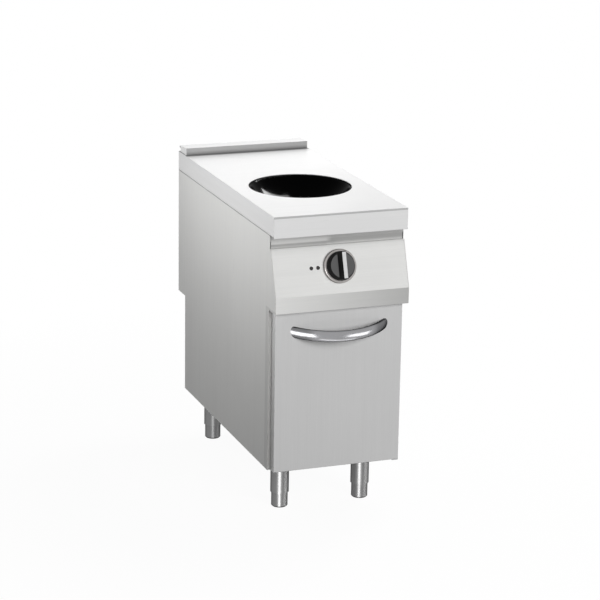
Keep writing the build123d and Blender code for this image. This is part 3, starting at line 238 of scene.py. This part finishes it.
    def bump(self, height, strength, distance, rounding=0.0):
        """Fine relief, over edges that shade as if rounded where a rounding is given."""
        made = self.node("Bump", Strength=strength, Distance=distance)
        if rounding:
            bevel = self.node("Bevel", samples=ROUND_SAMPLES, Radius=rounding)
            self.link(bevel.outputs["Normal"], made.inputs["Normal"])
        self.link(height, made.inputs["Height"])
        self.link(made.outputs["Normal"], self.shader.inputs["Normal"])

    def colour(self, output, tone=None):
        """The surface's colour, with its places brighter or darker where a tone is given."""
        shown = self.darkened(output, tone(self)) if tone else output
        self.link(shown, self.shader.inputs["Base Color"])

    def roughness(self, value, low, high):
        """The surface's roughness, between two by a noise."""
        shown = self.spread(value, low, high, NOISE_LOW, NOISE_HIGH)
        self.link(shown, self.shader.inputs["Roughness"])


def grey(value):
    return (value, value, value)


def tint(colour, factor):
    return tuple(min(1.0, part * factor) for part in colour)


# Satin steel: how far its marks run and lie apart, and how much each kind counts
GRAIN_LENGTH, GRAIN_WIDTH, GRAIN_SHARE = 0.12, 0.0007, 0.55
STREAK_LENGTH, STREAK_WIDTH, STREAK_SHARE = 0.9, 0.012, 0.25
CLOUD_SCALE, CLOUD_SHARE = 5.0, 0.2
RUBBED_RADIUS, RUBBED_SHARE = 0.0012, 0.35
WORN_HIGH = 0.8
SATIN_ROUGHER = 0.06
GRAIN_BUMP, GRAIN_DEPTH = 0.1, 0.0002


def brushed(
        name, colour, axis, across, roughness=0.32, metallic=0.2, contrast=0.05, gloss=0.5,
        rounding=0.0, tone=None):
    """Satin steel: fine grain, wider streaks, faint clouds of handling, brighter rubbed edges."""
    made = Surface(name, {"Metallic": metallic, "Specular IOR Level": gloss})
    grain = made.lines(axis, across, GRAIN_LENGTH, GRAIN_WIDTH)
    streak = made.lines(axis, across, STREAK_LENGTH, STREAK_WIDTH)
    cloud = made.noise(made.object_place(), CLOUD_SCALE)
    marks = made.weighed((grain, GRAIN_SHARE), (streak, STREAK_SHARE), (cloud, CLOUD_SHARE))
    worn = made.math("ADD", marks, made.product(made.edges(RUBBED_RADIUS), RUBBED_SHARE))
    factor = made.spread(worn, 0.0, 1.0, NOISE_LOW, WORN_HIGH)
    shade = made.shade(factor, tint(colour, 1.0 - contrast), tint(colour, 1.0 + contrast))
    made.colour(shade, tone)
    made.roughness(marks, roughness + SATIN_ROUGHER, roughness - SATIN_ROUGHER)
    made.bump(grain, GRAIN_BUMP, GRAIN_DEPTH, rounding)
    return made.material


# Plated steel: how far its drawing marks run and lie apart, and how its look varies
DRAWN_LENGTH, DRAWN_WIDTH, DRAWN_SHARE = 0.05, 0.0009, 0.5
SMUDGE_SCALE, SMUDGE_SHARE = 22.0, 0.5
PLATE_DARK, PLATE_LIGHT = 0.94, 1.05
PLATE_SMOOTHER, PLATE_ROUGHER = 0.03, 0.05
DRAWN_BUMP, DRAWN_DEPTH = 0.03, 0.0001


def polished(name, colour, axis, across, roughness, edge, spun=0.0, tone=None):
    """Bright plated steel: faint drawing marks, soft smudges, its own tint at the edges."""
    made = Surface(name, {"Metallic": 1.0, "Specular Tint": (*edge, 1.0), "Anisotropic": spun})
    drawn = made.lines(axis, across, DRAWN_LENGTH, DRAWN_WIDTH)
    smudge = made.noise(made.object_place(), SMUDGE_SCALE)
    marks = made.weighed((drawn, DRAWN_SHARE), (smudge, SMUDGE_SHARE))
    factor = made.spread(marks, 0.0, 1.0, NOISE_LOW, NOISE_HIGH)
    made.colour(made.shade(factor, tint(colour, PLATE_DARK), tint(colour, PLATE_LIGHT)), tone)
    made.roughness(marks, roughness - PLATE_SMOOTHER, roughness + PLATE_ROUGHER)
    made.bump(drawn, DRAWN_BUMP, DRAWN_DEPTH)
    if spun:
        upright = made.node("CombineXYZ", Z=1.0)
        made.link(upright.outputs[0], made.shader.inputs["Tangent"])
    return made.material


# Plastic, rubber and lacquer: the size and depth of their skin, and how their look varies
SKIN_DETAIL = 2.0
SKIN_BUMP, SKIN_DEPTH = 0.12, 0.0002
BLOTCH_SCALE, BLOTCH_SHARE = 30.0, 0.7
WORN_RADIUS, WORN_SHARE = 0.0008, 0.5
SKIN_CONTRAST = 0.12
SKIN_ROUGHER = 0.06


def skinned(made, roughness, texture):
    """Gives a surface its fine skin, and returns its blotches."""
    skin = made.noise(made.object_place(), 1.0 / texture, SKIN_DETAIL)
    blotches = made.noise(made.object_place(), BLOTCH_SCALE)
    made.roughness(blotches, roughness - SKIN_ROUGHER, roughness + SKIN_ROUGHER)
    made.bump(skin, SKIN_BUMP, SKIN_DEPTH)
    return blotches


def moulded(name, colour, roughness, gloss=0.5, texture=0.0006):
    """Moulded plastic, rubber or lacquer: a fine skin texture and rubbed edges."""
    made = Surface(name, {"Specular IOR Level": gloss})
    blotches = skinned(made, roughness, texture)
    factor = made.weighed((blotches, BLOTCH_SHARE), (made.edges(WORN_RADIUS), WORN_SHARE))
    dark, light = tint(colour, 1.0 - SKIN_CONTRAST), tint(colour, 1.0 + SKIN_CONTRAST)
    made.colour(made.shade(factor, dark, light))
    return made.material


# Knob: its face looks straight outward and lies under this height, and its grip rises higher
KNOB_FACE_TOP = 0.029
KNOB_FACE_LOOKS = 0.97
KNOB_BLACK_CONTRAST = 0.2
KNOB_FACE_CONTRAST = 0.08


def knob_plastic(name, black, face, roughness, gloss, texture):
    """Black moulded knob with a grey face, told apart by the height over the panel."""
    joints = frame["record"]["behaviour"]["joints"]
    joint = next(row for row in joints if row["name"] == "knob_turn")
    outward = tuple(-part for part in joint["axis"])
    made = Surface(name, {"Specular IOR Level": gloss})
    blotches = skinned(made, roughness, texture)
    flat = made.over(made.towards(made.direction(), outward), KNOB_FACE_LOOKS)
    low = made.under(made.along(joint["pos_m"], outward), KNOB_FACE_TOP)
    first, second, result = MIX_COLOUR
    mix = made.node("Mix", data_type="RGBA")
    made.link(made.product(flat, low), mix.inputs["Factor"])
    greys = ((first, black, KNOB_BLACK_CONTRAST), (second, face, KNOB_FACE_CONTRAST))
    for socket, value, contrast in greys:
        shown = made.shade(blotches, grey(value * (1.0 - contrast)), grey(value * (1.0 + contrast)))
        made.link(shown, mix.inputs[socket])
    made.colour(mix.outputs[result])
    return made.material


# Worktop, painted shade: a line along the front fold, the side skirts, a zone and band before the
# ledge
WORKTOP_TOP = 0.9
FOLD_LINE, FOLD_SHADE_TONE = 0.0058, 0.63
SKIRT_SHADE_TONE = 0.92
LEDGE_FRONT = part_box("rear_ledge")[0].y
SHADE_ZONE, SHADE_ZONE_TONE = 0.05, 0.75
SHADOW_BAND_START, SHADOW_BAND_FULL, SHADOW_BAND_TONE = 0.021, 0.013, 0.3


def worktop_painted_shade(made):
    """Painted shade: a dark line along the front fold, darker side skirts, and a shadow before the
    ledge.
    """
    top = made.over(made.place(Z), WORKTOP_TOP - FOLD_LINE)
    line = made.toned(made.product(made.forward(), top), FOLD_SHADE_TONE)
    skirts = made.toned(made.sideways(), SKIRT_SHADE_TONE)
    # Painted shadow of the ledge on the worktop: a zone darkening towards its foot, and a darker
    # band just before it
    zone = made.spread(made.place(Y), 1.0, SHADE_ZONE_TONE, LEDGE_FRONT - SHADE_ZONE, LEDGE_FRONT)
    fade = (LEDGE_FRONT - SHADOW_BAND_START, LEDGE_FRONT - SHADOW_BAND_FULL)
    band = made.spread(made.place(Y), 1.0, SHADOW_BAND_TONE, *fade)
    return made.product(line, skirts, made.toned(made.upward(), made.product(zone, band)))


# Ledge: painted shade on its front face, at the foot and from a height over the worktop
LEDGE_FOOT_SHADE_TONE, LEDGE_FACE_SHADE_TONE = 0.28, 0.52
LEDGE_SHADE = 0.011


def ledge_painted_shade(made):
    """The ledge's front face in painted shade, darkest towards its foot."""
    shaded = (WORKTOP_TOP, WORKTOP_TOP + LEDGE_SHADE)
    face = made.spread(made.place(Z), LEDGE_FOOT_SHADE_TONE, LEDGE_FACE_SHADE_TONE, *shaded)
    return made.toned(made.forward(), face)


# Control panel and its lip: painted light and shade from left to right, and painted shade on its
# top
LEFT_TO_RIGHT = (-0.2, 0.2)
LIP_SHADE_TONES = (1.09, 0.61)
LIP_LOOKS = 0.15
PANEL_LIGHT_TONES = (0.965, 1.035)
PANEL_TOP = 0.8035
PANEL_SHADES = ((0.007, 0.87), (0.022, 0.9))


def panel_painted_light(made):
    """Painted light and shade: the panel brighter to the right and shaded at its top, its lip
    darker to the right.
    """
    on_lip = made.under(made.facing(Z), LIP_LOOKS)
    lip = made.toned(on_lip, made.spread(made.place(X), *LIP_SHADE_TONES, *LEFT_TO_RIGHT))
    panel = made.spread(made.place(X), *PANEL_LIGHT_TONES, *LEFT_TO_RIGHT)
    top = [
        made.spread(made.place(Z), 1.0, tone, PANEL_TOP - depth, PANEL_TOP)
        for depth, tone in PANEL_SHADES
    ]
    return made.product(lip, panel, *top)


# Rail, painted light and shade: where its painted reflection on the left ends, and heights over the
# panel's top
RAIL_STEP = (-0.036, -0.016)
RAIL_REFLECTION_TONE, RAIL_SHADE_TONE = 0.98, 0.58
RAIL_SHADOW_LINE, RAIL_SHADOW_LINE_TONE = (0.0075, 0.0125), 0.52
RAIL_FOOT, RAIL_FOOT_LIGHT_TONE = (0.002, 0.0085), 1.6
RAIL_UPPER, RAIL_UPPER_LIGHT_TONE = (0.016, 0.025), 1.5


def rail_painted_light(made):
    """Rail in painted light and shade: a reflection on the left over a shadow line, shade on the
    right, lighter at foot and top.
    """
    height = made.math("SUBTRACT", made.place(Z), PANEL_TOP)
    left = made.spread(made.place(X), 1.0, 0.0, *RAIL_STEP)
    line = made.product(left, made.spread(height, 1.0, 0.0, *RAIL_SHADOW_LINE))
    right = made.math("SUBTRACT", 1.0, left)
    upper = made.product(right, made.spread(height, 0.0, 1.0, *RAIL_UPPER))
    return made.product(
        made.spread(left, RAIL_SHADE_TONE, RAIL_REFLECTION_TONE), made.toned(line, RAIL_SHADOW_LINE_TONE),
        made.spread(height, RAIL_FOOT_LIGHT_TONE, 1.0, *RAIL_FOOT), made.toned(upper, RAIL_UPPER_LIGHT_TONE))


# Side panels: painted shadow under the worktop's skirt, a darker strip by the door, painted light
# on the flange behind it
SIDE_SKIRT_FOOT = 0.842
SKIRT_SHADOW, SKIRT_SHADOW_TONE = 0.0025, 0.62
CARCASS_DEPTH = 0.8478
CARCASS_FRONT = cad_high.y - CARCASS_DEPTH
STRIP_WIDTH, STRIP_TOP, STRIP_FADE = 0.028, 0.634, 0.002
STRIP_END = CARCASS_FRONT + STRIP_WIDTH
STRIP_TONE, SIDE_TONE = 0.91, 1.08
FLANGE, FLANGE_LIGHT_TONES = (0.1915, 0.199), (1.2, 0.82)


def side_light_and_shade(made):
    """Painted shadow under the worktop's skirt, a darker strip by the door, and painted light on
    the flange, lighter inward.
    """
    skirt_shadow = made.over(made.place(Z), SIDE_SKIRT_FOOT - SKIRT_SHADOW)
    strip = made.spread(made.place(Y), 1.0, 0.0, STRIP_END - STRIP_FADE, STRIP_END)
    low = made.spread(made.place(Z), 1.0, 0.0, STRIP_TOP - STRIP_FADE, STRIP_TOP)
    beside = made.product(strip, low, made.sideways())
    flange = made.spread(made.unsigned(made.place(X)), *FLANGE_LIGHT_TONES, *FLANGE)
    sheet = made.product(made.toned(skirt_shadow, SKIRT_SHADOW_TONE), made.spread(beside, SIDE_TONE, STRIP_TONE))
    return made.product(sheet, made.toned(made.forward(), flange))


# Door: painted light on its folded sides
DOOR_SIDE_LOOKS = 0.4
DOOR_LEFT_LIGHT_TONE, DOOR_RIGHT_LIGHT_TONE = 1.32, 1.15


def door_painted_light(made):
    """Painted light on the door's folded sides, most of all on the left."""
    left = made.under(made.facing(X), -DOOR_SIDE_LOOKS)
    right = made.over(made.facing(X), DOOR_SIDE_LOOKS)
    return made.product(made.toned(left, DOOR_LEFT_LIGHT_TONE), made.toned(right, DOOR_RIGHT_LIGHT_TONE))


# Feet: the height of the rim and how softly it ends
FOOT_RIM, FOOT_RIM_FADE, FOOT_RIM_TONE = 0.005, 0.0015, 0.3


def foot_tone(made):
    """A dark rim where the foot stands."""
    return made.spread(made.place(Z), FOOT_RIM_TONE, 1.0, FOOT_RIM - FOOT_RIM_FADE, FOOT_RIM)


# Handle, painted dark reflection: how far its upper side looks up, and how far out and how softly
# its ends begin
HANDLE_UPPER = (0.45, 0.85)
HANDLE_END, HANDLE_END_FADE = 0.108, 0.022
HANDLE_DARK_REFLECTION_TONE = 0.6


def handle_painted_reflection(made):
    """Painted dark reflection on the upper side and the ends."""
    upper = made.spread(made.facing(Z), 1.0, HANDLE_DARK_REFLECTION_TONE, *HANDLE_UPPER)
    away = made.unsigned(made.place(X))
    ends = made.spread(away, 1.0, HANDLE_DARK_REFLECTION_TONE, HANDLE_END - HANDLE_END_FADE, HANDLE_END)
    return made.product(upper, ends)


# Each maker's materials, by the name of their look
MAKERS = {
    brushed: {
        "worktop_steel": dict(
            colour=grey(0.85), axis=X, across=Y, contrast=0.04, gloss=0.35,
            rounding=0.004, tone=worktop_painted_shade),
        "ledge_steel": dict(colour=grey(0.85), axis=X, across=Y, contrast=0.04, tone=ledge_painted_shade),
        "panel_steel": dict(colour=(0.81, 0.81, 0.797), axis=X, across=Z, tone=panel_painted_light),
        # The rail's darker colour is painted shade of the recess it lies in
        "rail_steel": dict(colour=(0.65, 0.65, 0.64), axis=X, across=Z, tone=rail_painted_light),
        "side_steel": dict(
            colour=(0.755, 0.755, 0.739), axis=Z, across=Y, metallic=0.06, gloss=0.2,
            tone=side_light_and_shade),
        "door_steel": dict(
            colour=grey(0.735), axis=Z, across=Y, metallic=0.06, gloss=0.15, tone=door_painted_light),
        "inner_steel": dict(
            colour=(0.5, 0.505, 0.51), axis=X, across=Y, roughness=0.5, metallic=0.7,
            contrast=0.08),
        "filter_aluminium": dict(
            colour=(0.6, 0.605, 0.61), axis=X, across=Y, roughness=0.45, metallic=0.8),
        "sink_aluminium": dict(
            colour=(0.6, 0.6, 0.61), axis=Y, across=X, roughness=0.4, metallic=0.9),
    },
    polished: {
        "fastener_steel": dict(
            colour=grey(0.42), axis=Z, across=X, roughness=0.3, edge=grey(0.6)),
        "stud_brass": dict(
            colour=(0.5, 0.36, 0.14), axis=Z, across=X, roughness=0.25, edge=(0.9, 0.8, 0.5)),
        "bright_steel": dict(
            colour=(0.31, 0.31, 0.32), axis=X, across=Z, roughness=0.2, edge=grey(0.1),
            tone=handle_painted_reflection),
        "leg_steel": dict(
            colour=grey(0.26), axis=Z, across=X, roughness=0.55, edge=grey(0.05), spun=0.85),
        "foot_steel": dict(
            colour=grey(0.25), axis=Z, across=X, roughness=0.55, edge=grey(0.05), spun=0.85,
            tone=foot_tone),
        "bezel_chrome": dict(
            colour=(0.42, 0.4, 0.39), axis=X, across=Z, roughness=0.35, edge=grey(0.3)),
        "coil_copper": dict(
            colour=(0.5, 0.2, 0.09), axis=X, across=Y, roughness=0.3, edge=(0.9, 0.6, 0.4)),
    },
    moulded: {
        "pointer_silver": dict(colour=grey(0.82), roughness=0.3),
        "lamp_dark": dict(colour=(0.02, 0.016, 0.016), roughness=0.12, texture=0.002),
        "inner_plastic": dict(colour=(0.04, 0.04, 0.044), roughness=0.5),
        "bush_plastic": dict(colour=(0.6, 0.6, 0.57), roughness=0.45),
        "board_green": dict(colour=(0.03, 0.14, 0.06), roughness=0.3),
        "black_rubber": dict(colour=grey(0.02), roughness=0.7),
        "black_glass": dict(
            colour=(0.0004, 0.0004, 0.0005), roughness=0.1, gloss=0.012, texture=0.02),
        "ferrite": dict(colour=(0.07, 0.07, 0.075), roughness=0.6),
        "gland_grey": dict(colour=(0.1, 0.105, 0.11), roughness=0.5),
    },
    knob_plastic: {
        "knob_grey": dict(black=0.008, face=0.13, roughness=0.45, gloss=0.12, texture=0.000625),
    },
}
MATERIALS = {
    name: maker(name, **values) for maker, looks in MAKERS.items() for name, values in looks.items()
}

# Nodes that take another look than their slot's name says
OTHER_LOOK = {
    "left_side_panel": "side_steel", "right_side_panel": "side_steel", "front_rail": "rail_steel",
}
SLOT_OF = {row["node"]: row["material_slot"] for row in frame["record"]["subparts"]}

for name, node in nodes.items():
    node.data.materials.clear()
    node.data.materials.append(MATERIALS[OTHER_LOOK.get(name, SLOT_OF[name])])

# Sheet edges and moulded edges are eased by these widths, so that they catch light
EASED = {
    "rear_ledge": 0.0004, "front_rail": 0.0004, "knob_bezel": 0.0006, "control_knob": 0.0008,
    "knob_pointer": 0.0005, "door_header": 0.0004, "hinge_plates": 0.0005, "cable_gland": 0.0008,
    "rear_cover_screws": 0.0004, "leg_bolts": 0.0006, "magnet_catch": 0.0008,
    "intake_filter": 0.0006, "door_bumpers": 0.0008, "bonding_stud": 0.0005, "wok_bowl": 0.0006,
}
WELD_WITHIN = 0.00002
EASED_OVER = math.radians(40)
EASED_SEGMENTS = 2

for name, width in EASED.items():
    weld = nodes[name].modifiers.new("weld", "WELD")
    weld.merge_threshold = WELD_WITHIN
    bevel = nodes[name].modifiers.new("eased", "BEVEL")
    bevel.width = width
    bevel.segments = EASED_SEGMENTS
    bevel.limit_method = "ANGLE"
    bevel.angle_limit = EASED_OVER
    bevel.harden_normals = True


def seen_rays(tree):
    """1 on the rays that show a thing as a picture: from the camera, a gloss or a glass."""
    path = tree.nodes.new("ShaderNodeLightPath")
    found = path.outputs["Is Camera Ray"]
    for kind in ("Is Glossy Ray", "Is Transmission Ray"):
        both = tree.nodes.new("ShaderNodeMath")
        both.operation = "MAXIMUM"
        tree.links.new(found, both.inputs[0])
        tree.links.new(path.outputs[kind], both.inputs[1])
        found = both.outputs[0]
    return found


def mixed(tree, factor, first, second):
    """A mix of two shaders."""
    mix = tree.nodes.new("ShaderNodeMixShader")
    for place, output in enumerate((factor, first, second)):
        tree.links.new(output, mix.inputs[place])
    return mix.outputs[0]


# Floor: distances from the middle over which the shadow fades out, and shares of plain white
FLOOR_SIZE = 60.0
FLOOR_ROUGHNESS = 0.9
SHADOW_RANGE = (0.6, 1.8)
WHITE_SHARES = (0.95, 1.0)
FLOOR_COLOUR = (0.95, 0.95, 0.95, 1.0)
BOUNCE_COLOUR = (0.1, 0.1, 0.1, 1.0)
WHITE = (1.0, 1.0, 1.0, 1.0)


def floor_material():
    """Pale floor: white where it is seen, with a faint shadow near the object, and a low bounce."""
    made = Surface("floor", {
        "Base Color": FLOOR_COLOUR, "Roughness": FLOOR_ROUGHNESS, "Specular IOR Level": 0.0,
    })
    glow = made.node("Emission", Color=WHITE, Strength=1.0)
    bounce = made.node("BsdfDiffuse", Color=BOUNCE_COLOUR)
    away = made.node("VectorMath", operation="LENGTH")
    made.link(made.object_place(), away.inputs[0])
    white_share = made.spread(away.outputs["Value"], *WHITE_SHARES, *SHADOW_RANGE)
    picture = mixed(made.tree, white_share, made.shader.outputs[0], glow.outputs[0])
    shown = mixed(made.tree, seen_rays(made.tree), bounce.outputs[0], picture)
    made.link(shown, made.tree.nodes["Material Output"].inputs["Surface"])
    return made.material


bpy.ops.mesh.primitive_plane_add(size=FLOOR_SIZE)
floor = bpy.context.object
floor.name = "floor"
floor.data.materials.append(floor_material())

# World: white where it is seen, a lower fill elsewhere
FILL_STRENGTH = 0.09

world = bpy.data.worlds.new("studio")
bpy.context.scene.world = world
world.use_nodes = True
tree = world.node_tree
fill = tree.nodes["Background"]
white = tree.nodes.new("ShaderNodeBackground")
for background, strength in ((fill, FILL_STRENGTH), (white, 1.0)):
    background.inputs["Color"].default_value = WHITE
    background.inputs["Strength"].default_value = strength
shown = mixed(tree, seen_rays(tree), fill.outputs[0], white.outputs[0])
tree.links.new(shown, tree.nodes["World Output"].inputs["Surface"])


def softbox(name, azimuth, elevation, distance, aim, size, power, pieces=()):
    """Area lamp, seen from its aim at those degrees; azimuth 0 is the front, and 90 the right.

    With pieces it is a card that only their gloss shows.
    Without, it lights all, and no gloss shows it.
    """
    lamp = bpy.data.lights.new(name, "AREA")
    lamp.shape = "RECTANGLE"
    lamp.size, lamp.size_y = size
    lamp.energy = power
    made = bpy.data.objects.new(name, lamp)
    bpy.context.scene.collection.objects.link(made)
    turn, rise = math.radians(azimuth), math.radians(elevation)
    level = math.cos(rise)
    away = Vector((math.sin(turn) * level, -math.cos(turn) * level, math.sin(rise)))
    made.location = Vector(aim) + away * distance
    made.rotation_mode = "QUATERNION"
    made.rotation_quaternion = away.to_track_quat("Z", "Y")
    made.visible_camera = False
    made.visible_diffuse = not pieces
    made.visible_glossy = bool(pieces)
    if pieces:
        lit = bpy.data.collections.new(name)
        for piece in pieces:
            lit.objects.link(nodes[piece])
        made.light_linking.receiver_collection = lit


# Soft light on the faces
softbox("front_light", azimuth=12, elevation=21, distance=4.0, aim=(0.0, -0.4, 0.5),
        size=(2.4, 2.0), power=112.0)
softbox("back_light", azimuth=180, elevation=40, distance=2.4, aim=(0.0, 0.1, 0.8),
        size=(2.0, 1.2), power=12.0)
softbox("right_light", azimuth=118, elevation=42, distance=2.4, aim=(0.0, 0.0, 0.8),
        size=(0.9, 2.2), power=53.0)
softbox("left_light", azimuth=-90, elevation=0, distance=0.5, aim=(-0.2, -0.06, 0.95),
        size=(1.3, 0.3), power=3.3)

# Cards for the legs: the power of each leg's front card and of its side card
LEG_POWERS = {
    "front_left": (176.0, 31.0), "front_right": (166.0, 24.0),
    "rear_left": (72.0, 7.0), "rear_right": (66.0, 9.0),
}
for corner, (front_power, side_power) in LEG_POWERS.items():
    leg = ["leg_" + corner, "foot_" + corner]
    softbox("leg_card_" + corner, azimuth=-24, elevation=8, distance=3.0, aim=(0.0, -0.38, 0.08),
            size=(0.85, 1.0), power=front_power, pieces=leg)
    softbox("leg_side_" + corner, azimuth=60, elevation=0, distance=2.5, aim=(0.0, -0.38, 0.56),
            size=(1.6, 1.1), power=side_power, pieces=leg)

# Cards for the other bright pieces
HANDLE_PLACE = (0.0, -0.45, 0.565)
softbox("handle_card_left", azimuth=-58, elevation=-22, distance=0.85, aim=HANDLE_PLACE,
        size=(0.6, 0.4), power=5.0, pieces=["door_handle"])
softbox("handle_card_right", azimuth=46, elevation=-24, distance=0.85, aim=HANDLE_PLACE,
        size=(0.6, 0.3), power=1.7, pieces=["door_handle"])
softbox("handle_card_low", azimuth=15, elevation=-66, distance=0.5, aim=HANDLE_PLACE,
        size=(0.5, 0.1), power=0.3, pieces=["door_handle"])
softbox("back_card", azimuth=180, elevation=22, distance=2.4, aim=(0.0, 0.1, 0.9),
        size=(2.2, 0.8), power=3.2, pieces=["worktop"])
softbox("bezel_card", azimuth=-52, elevation=-8, distance=2.5, aim=(0.0, -0.4, 0.74),
        size=(1.2, 1.2), power=30.0, pieces=["knob_bezel"])
softbox("bowl_card", azimuth=117.5, elevation=48.5, distance=2.4, aim=(0.0, 0.0, 0.88),
        size=(0.42, 1.8), power=250.0, pieces=["wok_bowl"])

# Camera, fitted to the edges that the photo shows; its place is given from the carcass front
SENSOR_WIDTH = 36.0
VIEW_ANGLE = math.radians(14.7526)
CAMERA_PLACE = (-2.285269, CARCASS_FRONT - 5.837579, 2.455411)
CAMERA_AHEAD = Vector((0.33556953, 0.8998767, -0.27859473))
CAMERA_UP = Vector((0.08178385, 0.26679635, 0.96027658))
FARTHEST_SEEN = 200.0

camera_data = bpy.data.cameras.new("camera")
camera_data.sensor_width = SENSOR_WIDTH
camera_data.lens = SENSOR_WIDTH / 2 / math.tan(VIEW_ANGLE / 2)
camera_data.clip_end = FARTHEST_SEEN
camera = bpy.data.objects.new("camera", camera_data)
bpy.context.scene.collection.objects.link(camera)
ahead = CAMERA_AHEAD.normalized()
rightward = ahead.cross(CAMERA_UP).normalized()
turn = Matrix((rightward, rightward.cross(ahead), -ahead)).transposed().to_4x4()
camera.matrix_world = Matrix.Translation(CAMERA_PLACE) @ turn
bpy.context.scene.camera = camera

bpy.context.scene.view_settings.view_transform = "Standard"
